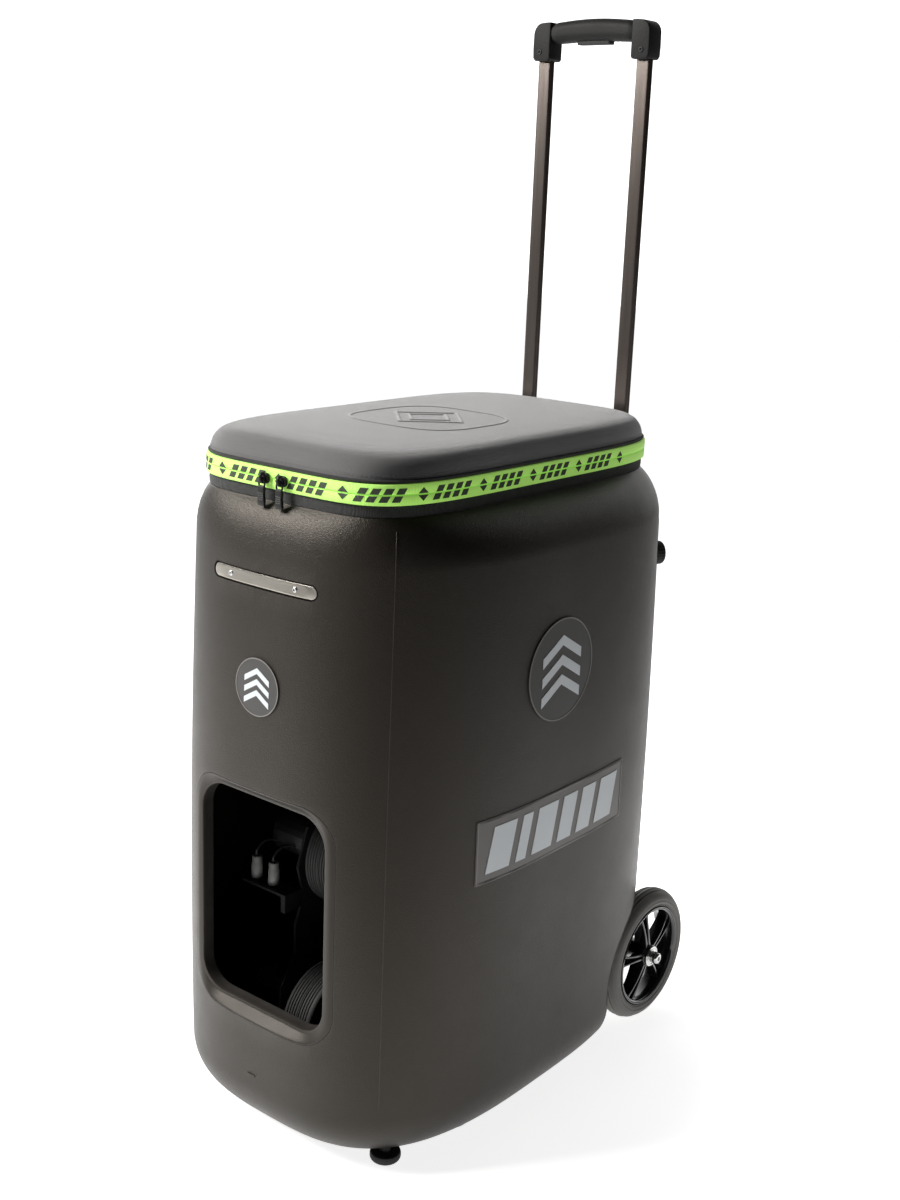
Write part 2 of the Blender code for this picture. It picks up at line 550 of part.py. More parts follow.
cheek_uv = [(0.030, -0.098), (0.034, -0.060), (0.020, -0.030), (0.026, 0.0), (0.020, 0.030), (0.034, 0.060), (0.028, 0.100),
            (-0.028, 0.100), (-0.050, 0.090), (-0.135, 0.080), (-0.150, 0.060), (-0.150, 0.010), (-0.130, -0.040), (-0.040, -0.046),
            (-0.026, -0.070), (-0.028, -0.098)]
up_c, low_c = tilt(0, THROW_D), tilt(0, -THROW_D)
for s, side in ((-1, "left"), (1, "right")):
    x0, x1 = sorted((s * CHEEK_X, s * (CHEEK_X + CHEEK_T)))
    cheek = prism("cheek_" + side, [tilt(u, v) for u, v in cheek_uv], "x", x0, x1, "dark_steel")
    for c in (up_c, low_c):
        boolean(cheek, cyl("shaft_hole", (s * 0.02, *c), (s * 0.06, *c), 0.0045, seg=20))
    boolean(cheek, cyl("trunnion", (s * (CHEEK_X + 0.001), NIP_Y, NIP_Z), (s * (UP_X + UP_T + 0.003), NIP_Y, NIP_Z), 0.0050, seg=24), "UNION")
    if s < 0:
        boolean(cheek, box("shelf", (-0.0960, -0.1700, 0.2110), (-CHEEK_X - 0.0005, -0.1480, 0.2135)), "UNION")
        boolean(cheek, box("shelf_web", (-0.0430, -0.1700, 0.1950), (-CHEEK_X - 0.0006, -0.1380, 0.2120)), "UNION")
    cheek.data.materials.clear()
    cheek.data.materials.append(M["dark_steel"])
    origin(cheek, (0, NIP_Y, NIP_Z))
for k, (x, y) in enumerate(((-0.0640, -0.1590), (-0.0870, -0.1590))):
    origin(turned("motor_connector_" + "ab"[k], [(0, 0.2370), (0.0042, 0.2370), (0.0050, 0.2362), (0.0050, 0.2300), (0.0056, 0.2296),
                                                 (0.0056, 0.2139), (0, 0.2139)], (x, y, 0), (0, 0, 1), "connector", 14), (0, NIP_Y, NIP_Z))

# ball ramp: a J-shaped sheet between the cheeks
ramp_line = [(-0.1020, 0.1360), (-0.0850, 0.1320), (-0.0650, 0.1310), (-0.0450, 0.1345), (-0.0260, 0.1420), (-0.0080, 0.1550),
             (0.0060, 0.1720), (0.0150, 0.1920), (0.0180, 0.2150), (0.0185, 0.2480)]
back_line = []
for i, p in enumerate(ramp_line):
    q, r = Vector(ramp_line[max(i - 1, 0)]), Vector(ramp_line[min(i + 1, len(ramp_line) - 1)])
    d = (r - q).normalized()
    back_line.append((p[0] + d.y * 0.003, p[1] - d.x * 0.003))
origin(prism("feed_ramp", ramp_line + back_line[::-1], "x", -CHEEK_X + GAP, CHEEK_X - GAP, "inner_plastic"), (0, NIP_Y, NIP_Z))

for name, c in (("upper", up_c), ("lower", low_c)):
    at = (0, *c)
    w = THROW_W / 2
    origin(turned("throw_wheel_" + name, [(THROW_R - 0.002, w), (THROW_R, w - 0.003), (THROW_R, -w + 0.003), (THROW_R - 0.002, -w),
                                          (0.0345, -w), (0.0345, w)], at, (1, 0, 0), "throw_foam", 32, closed=True), at)
    origin(turned("throw_hub_" + name, [(0, 0.0430), (0.0040, 0.0430), (0.0040, 0.0150), (0.0130, 0.0130), (0.0150, 0.0050), (0.0305, 0.0050),
                                        (0.0310, 0.0150), (0.0338, 0.0150), (0.0338, -0.0150), (0.0120, -0.0160), (0.0040, -0.0180),
                                        (0.0040, -0.0400), (0, -0.0400)], at, (1, 0, 0), "motor", 26), at)
    origin(turned("throw_motor_" + name, [(0, -0.0404), (0.0200, -0.0404), (0.0210, -0.0414), (0.0210, -0.0880), (0.0190, -0.0900),
                                          (0.0080, -0.0900), (0.0080, -0.0940), (0, -0.0940)], at, (1, 0, 0), "motor", 22), (0, NIP_Y, NIP_Z))

# oscillation drive: a motor on the chassis with a rubber roller against the turret's rim
RO = DISC_R + ROLLER_R + 0.0003
ROLLER = (RO * math.sin(math.radians(55)), YAW_Y + RO * math.cos(math.radians(55)))
cyl("oscillation_motor", (*ROLLER, 0.0199), (*ROLLER, 0.0300), 0.0160, "motor", seg=24)
origin(turned("drive_roller", [(0, 0.0400), (0.0110, 0.0400), (ROLLER_R, 0.0390), (ROLLER_R, 0.0314), (0.0110, 0.0304), (0, 0.0304)],
              (*ROLLER, 0), (0, 0, 1), "rubber", 24), (*ROLLER, 0.0350))

# ---------------------------------------------------------------- handle
for s, side in ((-1, "left"), (1, "right")):
    x = s * POLE_X
    # holes through the shoulder for the guide tube
    boolean(body, box("guide_hole", (x - 0.0098, POLE_Y - 0.0062, 0.55), (x + 0.0098, POLE_Y + 0.0062, 0.65)))
    ow, od = POLE_W / 2 + 0.0018, POLE_D / 2 + 0.0018
    iw, idp = POLE_W / 2 + GAP, POLE_D / 2 + GAP
    guide = box("handle_guide_" + side, (x - ow, POLE_Y - od, 0.2500), (x + ow, POLE_Y + od, 0.6160), "black_plastic")
    boolean(guide, box("guide_bore", (x - iw, POLE_Y - idp, 0.2400), (x + iw, POLE_Y + idp, 0.6300)))
    tube = box("handle_tube_" + side, (x - POLE_W / 2, POLE_Y - POLE_D / 2, 0.5860), (x + POLE_W / 2, POLE_Y + POLE_D / 2, 1.0080), "pole_metal")
    bevel(tube, 0.0012, 2)
    boolean(tube, box("tube_bore", (x - POLE_W / 2 + 0.0012, POLE_Y - POLE_D / 2 + 0.0012, 0.5800),
                      (x + POLE_W / 2 - 0.0012, POLE_Y + POLE_D / 2 - 0.0012, 1.0200)))
    e0, e1 = sorted((s * 0.0480, s * 0.0690))
    end = box("handle_end_" + side, (e0, POLE_Y - GRIP_D / 2, Z_GRIP0), (e1, POLE_Y + GRIP_D / 2, Z_GRIP1 - 0.0030), "black_plastic")
    bevel(end, 0.0040, 3)
    boolean(end, box("end_pocket", (x - POLE_W / 2 - GAP, POLE_Y - POLE_D / 2 - GAP, Z_GRIP0 - 0.01),
                     (x + POLE_W / 2 + GAP, POLE_Y + POLE_D / 2 + GAP, 1.0084)))
    for ob in (tube, end):
        origin(ob, (0, POLE_Y, Z_GRIP0))

# the grip: a rounded bar, arched along its top
bar = []
for i in range(11):
    x = -0.0476 + 0.0952 * i / 10
    arch = 0.0030 * math.cos(math.pi / 2 * x / 0.0476)
    ease = 0.0 if 0 < i < 10 else 0.0012
    top, low = Z_GRIP1 - 0.0030 + arch - ease, Z_GRIP_UNDER + arch * 0.4 + ease
    bar.append([(x, POLE_Y + p, (top + low) / 2 + q) for p, q in rounded_rect(GRIP_D / 2 - ease, (top - low) / 2, 0.0075, 3)])
grip = loft("handle_grip", bar, "black_plastic")
boolean(grip, box("button_well", (-0.0206, POLE_Y - 0.0056, Z_GRIP_UNDER - 0.004), (0.0206, POLE_Y + 0.0056, Z_GRIP_UNDER + 0.0085)))
button = box("grip_button", (-0.0200, POLE_Y - 0.0050, Z_GRIP_UNDER - 0.0020), (0.0200, POLE_Y + 0.0050, Z_GRIP_UNDER + 0.0050), "rubber", edge=0.0012)
origin(grip, (0, POLE_Y, Z_GRIP0))
origin(button, (0, POLE_Y, Z_GRIP_UNDER))

# ---------------------------------------------------------------- road wheels
for s, side in ((-1, "left"), (1, "right")):
    at = (s * (WHEEL_X1 - WHEEL_W / 2), WHEEL_Y, WHEEL_R)
    ax = (s, 0, 0)
    half = WHEEL_W / 2
    origin(turned("wheel_tyre_" + side, [(0.0590, half - 0.0008), (0.0665, half), (0.0712, half - 0.0030), (WHEEL_R, half - 0.0075),
                                         (WHEEL_R, -half + 0.0075), (0.0712, -half + 0.0030), (0.0665, -half), (0.0590, -half + 0.0008),
                                         (RIM_R + GAP, -half + 0.0030), (RIM_R + GAP, half - 0.0030)], at, ax, "tyre", 40, closed=True), at)
    rim = turned("wheel_rim_" + side, [(RIM_R, half - 0.0026), (RIM_R, 0.0026 - half), (0.0510, 0.0014 - half), (0.0490, -0.0060), (0.0490, 0.0060), (0.0510, half - 0.0014)],
                 at, ax, "rim", 40, closed=True)
    boolean(rim, turned("hub", [(0.0105, half + 0.0002), (0.0122, half - 0.0016), (0.0130, 0.0), (0.0125, -half), (AXLE_R + GAP, -half), (AXLE_R + GAP, half + 0.0002)],
                        at, ax, None, 22, closed=True), "UNION")
    for k in range(5):
        t = math.radians(27 + 72 * k)
        rd, tg = Vector((math.cos(t), math.sin(t))), Vector((-math.sin(t), math.cos(t)))
        for q in (-1, 1):
            c0 = rd * 0.0105 + tg * q * 0.0026
            c1 = rd * 0.0300 + tg * q * 0.0036
            c2 = rd * 0.0502 + tg * q * 0.0060
            w = 0.0014
            line = [c0 - tg * w, c0 + tg * w, c1 + tg * w, c2 + tg * w, c2 - tg * w, c1 - tg * w]
            x0, x1 = sorted((at[0] - s * 0.0050, at[0] + s * 0.0080))
            boolean(rim, prism("rib", [(WHEEL_Y + p.x, WHEEL_R + p.y) for p in line], "x", x0, x1), "UNION")
        web = [rd * 0.0110 - tg * 0.0030, rd * 0.0110 + tg * 0.0030, rd * 0.0502 + tg * 0.0062, rd * 0.0502 - tg * 0.0062]
        x0, x1 = sorted((at[0] - s * 0.0040, at[0] + s * 0.0030))
        boolean(rim, prism("web", [(WHEEL_Y + p.x, WHEEL_R + p.y) for p in web], "x", x0, x1), "UNION")
    rim.data.materials.clear()
    rim.data.materials.append(M["rim"])
    origin(rim, at)
    x = at[0] + s * (half + 0.0006)
    cap = turned("axle_cap_" + side, [(0, x * s), (0.0112, x * s), (0.0112, x * s + 0.0014), (0.0066, x * s + 0.0016), (0.0064, x * s + 0.0080),
                                      (0.0048, x * s + 0.0100), (0, x * s + 0.0102)], (0, WHEEL_Y, WHEEL_R), ax, "chrome", 18)
    boolean(cap, cyl("cap_bore", (x - s * 0.002, WHEEL_Y, WHEEL_R), (x + s * 0.0050, WHEEL_Y, WHEEL_R), AXLE_R + GAP, seg=18))
end_x = WHEEL_X1 + 0.0040
turned("axle", [(0, end_x), (AXLE_R - 0.0006, end_x), (AXLE_R, end_x - 0.0008), (AXLE_R, -end_x + 0.0008), (AXLE_R - 0.0006, -end_x), (0, -end_x)],
       (0, WHEEL_Y, WHEEL_R), (1, 0, 0), "steel", 18)

# ---------------------------------------------------------------- feet
for (x, y), side in zip(FEET, ("right", "left")):
    boolean(body, cyl("foot_hole", (x, y, 0), (x, y, 0.04), 0.0054, seg=20))
    turned("foot_" + side, [(0, 0.0270), (0.0050, 0.0270), (0.0050, 0.0114), (0.0132, 0.0114), (0.0145, 0.0100), (0.0145, 0.0060), (0.0128, 0.0022),
                            (0.0090, 0.0), (0, 0.0)], (x, y, 0), (0, 0, 1), "rubber", 20)

# ---------------------------------------------------------------- rear control panel
boolean(body, box("panel_cut", (-0.0454, 0.2000, 0.4546), (0.0454, 0.2600, 0.5604)))
panel = box("control_panel", (-0.0450, 0.2250, 0.4550), (0.0450, 0.2285, 0.5600), "inner_plastic")
boolean(panel, box("rocker_hole", (-0.0288, 0.22, 0.5202), (-0.0152, 0.24, 0.5398)))
boolean(panel, cyl("socket_hole", (0.0220, 0.22, 0.5300), (0.0220, 0.24, 0.5300), 0.0082, seg=24))
rock = math.radians(-8)
rocker = prism("power_switch", [(0.2257 + p * math.cos(rock) - q * math.sin(rock), 0.5300 + p * math.sin(rock) + q * math.cos(rock)) for p, q in
                                ((-0.0030, -0.0070), (0.0046, -0.0086), (0.0034, 0.0), (0.0046, 0.0086), (-0.0030, 0.0070))],
               "x", -0.0280, -0.0160, "switch")
origin(rocker, (-0.0220, 0.2257, 0.5300))
turned("charge_socket", [(0, 0.2180), (0.0055, 0.2180), (0.0055, 0.2308), (0.0098, 0.2308), (0.0104, 0.2300), (0.0104, 0.2289), (0.0078, 0.2289),
                         (0.0078, 0.2140), (0, 0.2140)], (0.0220, 0, 0.5300), (0, 1, 0), "black_plastic", 18)

# feed-rate knob on the rear right corner, square to the casing's skin
kp = Vector((KNOB_X, front_y(KNOB_X, KNOB_Z, 1), KNOB_Z))
kn = Vector(((KNOB_X / a_of(KNOB_Z)) ** (N - 1) / a_of(KNOB_Z), ((kp.y - YC) / b_of(KNOB_Z)) ** (N - 1) / b_of(KNOB_Z), 0)).normalized()
boolean(body, cyl("bezel_well", kp - kn * 0.0016, kp + kn * 0.02, 0.0181, seg=24))
boolean(body, cyl("bezel_hole", kp - kn * 0.02, kp + kn * 0.01, 0.0124, seg=24))
turned("knob_bezel", [(0, -0.0060), (0.0034, -0.0060), (0.0034, 0.0026), (0.0160, 0.0026), (0.0175, 0.0016), (0.0175, -0.0012), (0.0118, -0.0012),
                      (0.0118, -0.0110), (0, -0.0110)], kp, kn, "black_plastic", 24)
origin(turned("control_knob", [(0, 0.0180), (0.0105, 0.0180), (0.0120, 0.0168), (0.0126, 0.0040), (0.0120, 0.0030), (0.0030, 0.0030), (0.0030, -0.0050), (0, -0.0050)],
              kp, kn, "rubber", 24), kp)

# ---------------------------------------------------------------- finish
body.data.materials.clear()
body.data.materials.append(M["casing"])
hopper.data.materials.clear()
hopper.data.materials.append(M["inner_plastic"])
carousel.data.materials.clear()
carousel.data.materials.append(M["black_plastic"])
for ob in MACHINE.objects:
    for f in ob.data.polygons:
        f.material_index = 0
    ob.location.y += SHIFT_Y
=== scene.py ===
import json
import math

import bmesh
import bpy
import numpy as np
from mathutils import Matrix, Vector


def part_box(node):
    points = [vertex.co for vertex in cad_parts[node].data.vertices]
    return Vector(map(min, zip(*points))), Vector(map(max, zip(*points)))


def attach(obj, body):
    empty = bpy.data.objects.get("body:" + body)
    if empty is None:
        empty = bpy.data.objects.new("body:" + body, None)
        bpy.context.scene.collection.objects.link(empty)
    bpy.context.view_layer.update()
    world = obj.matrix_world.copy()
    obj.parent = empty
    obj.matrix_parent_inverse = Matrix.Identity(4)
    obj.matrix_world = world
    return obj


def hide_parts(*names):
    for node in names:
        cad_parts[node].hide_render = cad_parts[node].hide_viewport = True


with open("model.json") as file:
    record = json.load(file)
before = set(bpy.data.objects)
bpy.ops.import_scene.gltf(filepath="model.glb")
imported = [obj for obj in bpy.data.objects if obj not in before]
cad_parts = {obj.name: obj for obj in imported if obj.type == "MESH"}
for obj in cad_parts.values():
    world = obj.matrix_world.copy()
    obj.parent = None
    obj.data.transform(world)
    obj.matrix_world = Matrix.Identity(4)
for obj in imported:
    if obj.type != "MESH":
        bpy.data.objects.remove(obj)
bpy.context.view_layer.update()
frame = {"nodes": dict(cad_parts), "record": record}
NODES, RECORD = frame["nodes"], frame["record"]

# ------------------------------------------------------------------ the casing's surface, as the CAD has it
lo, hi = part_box("handle_tube_right")
SH = (lo.y + hi.y) / 2 - 0.2120
N, YC = 3.08, -0.0054 + SH
WALL, Z_BASE, FOOT_IN, FOOT_UP = 0.004, 0.0118, 0.038, 0.0495
Z_SHOULDER, SHOULDER_UP, Z_LAND = 0.5658, 0.050, 0.6095
LID_A, LID_B, LID_N, LID_Y, TAPE, GAP = 0.1291, 0.2137, 4.98, -0.0110 + SH, 0.0020, 0.0004
WA, WB = LID_A - TAPE - GAP, LID_B - TAPE - GAP
Z_STRIP0, Z_STRIP1, Z_SEAM, Z_LID = 0.6203, 0.6379, 0.6291, 0.6645
HINGE_Y, HINGE_Z, SKIRT_X = 0.1925 + SH, 0.6500, 0.1034
WIN_W, WIN_Z0, WIN_Z1, WIN_R, WIN_BEVEL, WIN_DEPTH = 0.0878, 0.1265, 0.3552, 0.036, 0.0110, 0.0098
POLE_X, POLE_Y, POLE_W, POLE_D = 0.0585, 0.2120 + SH, 0.0150, 0.0080
WHEEL_Y, WHEEL_R = 0.2039 + SH, 0.0725
ARCH_A, ARCH_B, ARCH_N, ARCH_X = 0.1045, 0.0780, 2.2, 0.1045
R = 232


def a_of(z):
    return 0.1665 - 0.0024 * (z - 0.1) / 0.4


def b_of(z):
    t = (z - 0.1) / 0.4
    return 0.2407 - 0.0041 * t + 4 * 0.0032 * t * (1 - t)


def front_y(x, z, sign=-1):
    return YC + sign * b_of(z) * (1 - np.minimum(np.abs(x) / a_of(z), 0.999) ** N) ** (1 / N)


def side_x(y, z):
    return a_of(z) * (1 - np.minimum(np.abs(y - YC) / b_of(z), 0.999) ** N) ** (1 / N)


def phi(n):
    t = 2 * np.pi * (np.arange(n) + 0.5) / n
    c, s = np.cos(t), np.sin(t)
    return np.arctan2(0.24 * np.sign(s) * np.abs(s) ** (2 / N), 0.165 * np.sign(c) * np.abs(c) ** (2 / N))


def plan(a, b, n, yc, z, count=R, p=None):
    p = phi(count) if p is None else p
    r = (np.abs(np.cos(p) / a) ** n + np.abs(np.sin(p) / b) ** n) ** (-1 / n)
    return np.stack([r * np.cos(p), yc + r * np.sin(p), np.full(len(p), z)], 1)


# ------------------------------------------------------------------ mesh tools
def make(name, verts, faces, mat=None, sharp=35, smooth=True):
    me = bpy.data.meshes.new(name)
    me.from_pydata([tuple(v) for v in verts], [], [tuple(f) for f in faces])
    bm = bmesh.new()
    bm.from_mesh(me)
    bmesh.ops.remove_doubles(bm, verts=bm.verts, dist=1e-7)
    bmesh.ops.recalc_face_normals(bm, faces=bm.faces)
    bm.to_mesh(me)
    bm.free()
    ob = bpy.data.objects.new(name, me)
    bpy.context.scene.collection.objects.link(ob)
    return finish_mesh(ob, mat, sharp, smooth)


def finish_mesh(ob, mat=None, sharp=35, smooth=True):
    me = ob.data
    if mat:
        me.materials.clear()
        me.materials.append(mat)
    for p in me.polygons:
        p.use_smooth = smooth
        p.material_index = 0
    if smooth and sharp:
        me.set_sharp_from_angle(angle=math.radians(sharp))
    return ob


def bake(ob):
    g = bpy.context.evaluated_depsgraph_get()
    g.update()
    me = bpy.data.meshes.new_from_object(ob.evaluated_get(g))
    old, ob.data = ob.data, me
    ob.modifiers.clear()
    bpy.data.meshes.remove(old)
    return ob


def boolean(ob, other, op="DIFFERENCE"):
    m = ob.modifiers.new("cut", "BOOLEAN")
    m.object, m.operation, m.solver = other, op, "EXACT"
    bake(ob)
    bpy.data.objects.remove(other, do_unlink=True)
    return ob


def bevelled(ob, width, segments=3, angle=40):
    m = ob.modifiers.new("edge", "BEVEL")
    m.width, m.segments, m.limit_method = width, segments, "ANGLE"
    m.angle_limit = math.radians(angle)
    m.harden_normals = False
    return bake(ob)


def joined(name, obs):
    bm = bmesh.new()
    for ob in obs:
        me = ob.data.copy()
        me.transform(ob.matrix_world)
        bm.from_mesh(me)
    me = bpy.data.meshes.new(name)
    bm.to_mesh(me)
    bm.free()
    mat = obs[0].data.materials[0] if obs[0].data.materials else None
    for ob in obs:
        bpy.data.objects.remove(ob, do_unlink=True)
    out = bpy.data.objects.new(name, me)
    bpy.context.scene.collection.objects.link(out)
    return finish_mesh(out, mat)


def loft(name, rings, mat=None, closed=False, caps=True, open_u=False, sharp=35):
    rings = [np.asarray(r, float) for r in rings]
    n = len(rings[0])
    verts = np.concatenate(rings)
    faces = []
    rows = list(range(len(rings)))
    pairs = list(zip(rows, rows[1:])) + ([(rows[-1], 0)] if closed else [])
    for a, b in pairs:
        for i in range(n - 1 if open_u else n):
            j = (i + 1) % n
            faces.append((a * n + i, a * n + j, b * n + j, b * n + i))
    if caps and not closed:
        faces.append(tuple(range(n - 1, -1, -1)))
        faces.append(tuple((len(rings) - 1) * n + i for i in range(n)))
    if open_u and closed:  # a strip with a closed profile: cap its two ends
        faces.append(tuple(k * n for k in rows))
        faces.append(tuple(k * n + n - 1 for k in rows[::-1]))
    return make(name, verts, faces, mat, sharp)


def turned(name, profile, at, axis, mat=None, steps=72, closed=False, sharp=35, wobble=None):
    """A (radius, height) profile turned about axis through at. wobble(k, i) scales the radius at step k, profile point i."""
    q = Vector(axis).normalized().to_track_quat("Z", "Y").to_matrix()
    at = Vector(at)
    verts, faces = [], []
    m = len(profile)
    for k in range(steps):
        t = 2 * math.pi * k / steps
        for i, (r, h) in enumerate(profile):
            w = wobble(k, i) if wobble else 1.0
            verts.append(q @ Vector((r * w * math.cos(t), r * w * math.sin(t), h)) + at)
    rows = list(zip(range(m), range(1, m))) + ([(m - 1, 0)] if closed else [])
    for k in range(steps):
        n = (k + 1) % steps
        for i, j in rows:
            f = [k * m + i, n * m + i, n * m + j, k * m + j]
            if profile[i][0] < 1e-9:
                f = [k * m + i, n * m + j, k * m + j]
            elif profile[j][0] < 1e-9:
                f = [k * m + i, n * m + i, k * m + j]
            faces.append(f)
    return make(name, verts, faces, mat, sharp)


def rrect(hw, hh, r, n=6):
    pts = []
    for cx, cy, a0 in ((hw - r, hh - r, 0), (-hw + r, hh - r, 90), (-hw + r, -hh + r, 180), (hw - r, -hh + r, 270)):
        for i in range(n + 1):
            t = math.radians(a0 + 90 * i / n)
            pts.append((cx + r * math.cos(t), cy + r * math.sin(t)))
    return pts


def dense(points, step, closed=True):
    out = []
    pts = [np.array(p, float) for p in points]
    for a, b in zip(pts, pts[1:] + (pts[:1] if closed else [])):
        k = max(1, int(math.ceil(np.linalg.norm(b - a) / step)))
        out += [a + (b - a) * i / k for i in range(k)]
    if not closed:
        out.append(pts[-1])
    return out


def prism(name, points, axis, a, b, mat=None, edge=0.0, segments=3, sharp=35):
    def at(p, t):
        return {"x": (t, p[0], p[1]), "y": (p[0], t, p[1]), "z": (p[0], p[1], t)}[axis]
    ob = loft(name, [[at(p, a) for p in points], [at(p, b) for p in points]], mat, sharp=sharp)
    if edge:
        bevelled(ob, edge, segments)
        finish_mesh(ob, mat, sharp)
    return ob


def block(name, c, size, mat=None, edge=0.001, segments=3):
    x, y = size[0] / 2, size[1] / 2
    pts = [(c[0] - x, c[1] - y), (c[0] + x, c[1] - y), (c[0] + x, c[1] + y), (c[0] - x, c[1] + y)]
    return prism(name, pts, "z", c[2] - size[2] / 2, c[2] + size[2] / 2, mat, edge, segments)


def tube(name, path, r, mat=None, n=12, closed=False, squash=1.0, normal=None):
    """A round or flattened tube along a path. normal(i) gives the direction that squash flattens."""
    pts = [Vector(p) for p in path]
    m = len(pts)
    rings = []
    up = Vector((0, 0, 1))
    last = None
    for i, p in enumerate(pts):
        q, s = (pts[i - 1], pts[(i + 1) % m]) if closed else (pts[max(i - 1, 0)], pts[min(i + 1, m - 1)])
        d = (s - q).normalized()
        if normal is not None:
            u = Vector(normal(i))
            u = (u - d * u.dot(d)).normalized()
        elif last is None:
            u = d.cross(up if abs(d.z) < 0.9 else Vector((1, 0, 0))).normalized()
        else:
            u = (last - d * last.dot(d)).normalized()
        last = u
        v = d.cross(u)
        rr = r(i) if callable(r) else r
        rings.append([p + u * rr * squash * math.cos(2 * math.pi * k / n) + v * rr * math.sin(2 * math.pi * k / n) for k in range(n)])
    return loft(name, rings, mat, closed=closed, sharp=60)


def smooth_path(points, count):
    """A Catmull-Rom curve through the points."""
    p = np.array(points, float)
    p = np.concatenate([[2 * p[0] - p[1]], p, [2 * p[-1] - p[-2]]])
    out = []
    seg = len(p) - 3
    for i in range(seg):
        k = count // seg
        for t in np.linspace(0, 1, k, endpoint=False):
            a, b, c, d = p[i:i + 4]
            out.append(0.5 * (2 * b + (c - a) * t + (2 * a - 5 * b + 4 * c - d) * t * t + (3 * b - a - 3 * c + d) * t ** 3))
    out.append(p[-2])
    return out


def screw(name, at, axis, r, h, mat, socket=0.5):
    """A domed screw head with a hexagon socket."""
    steps = 36
    def hexed(k, i):
        if i > 3:
            return 1.0
        t = (k / steps * 6) % 1.0
        return math.cos(math.pi / 6) / math.cos((t - 0.5) * math.pi / 3)
    s = r * socket
    prof = [(0, h * 0.15), (s * 0.98, h * 0.15), (s, h * 0.25), (s, h * 0.86), (s * 1.12, h * 0.97), (r * 0.72, h), (r * 0.9, h * 0.8), (r, h * 0.5), (r, 0), (0, 0)]
    return turned(name, prof, at, axis, mat, steps, wobble=hexed)


def put(ob, body, slot, *nodes):
    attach(ob, body)
    if nodes:
        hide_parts(*nodes)
    return ob


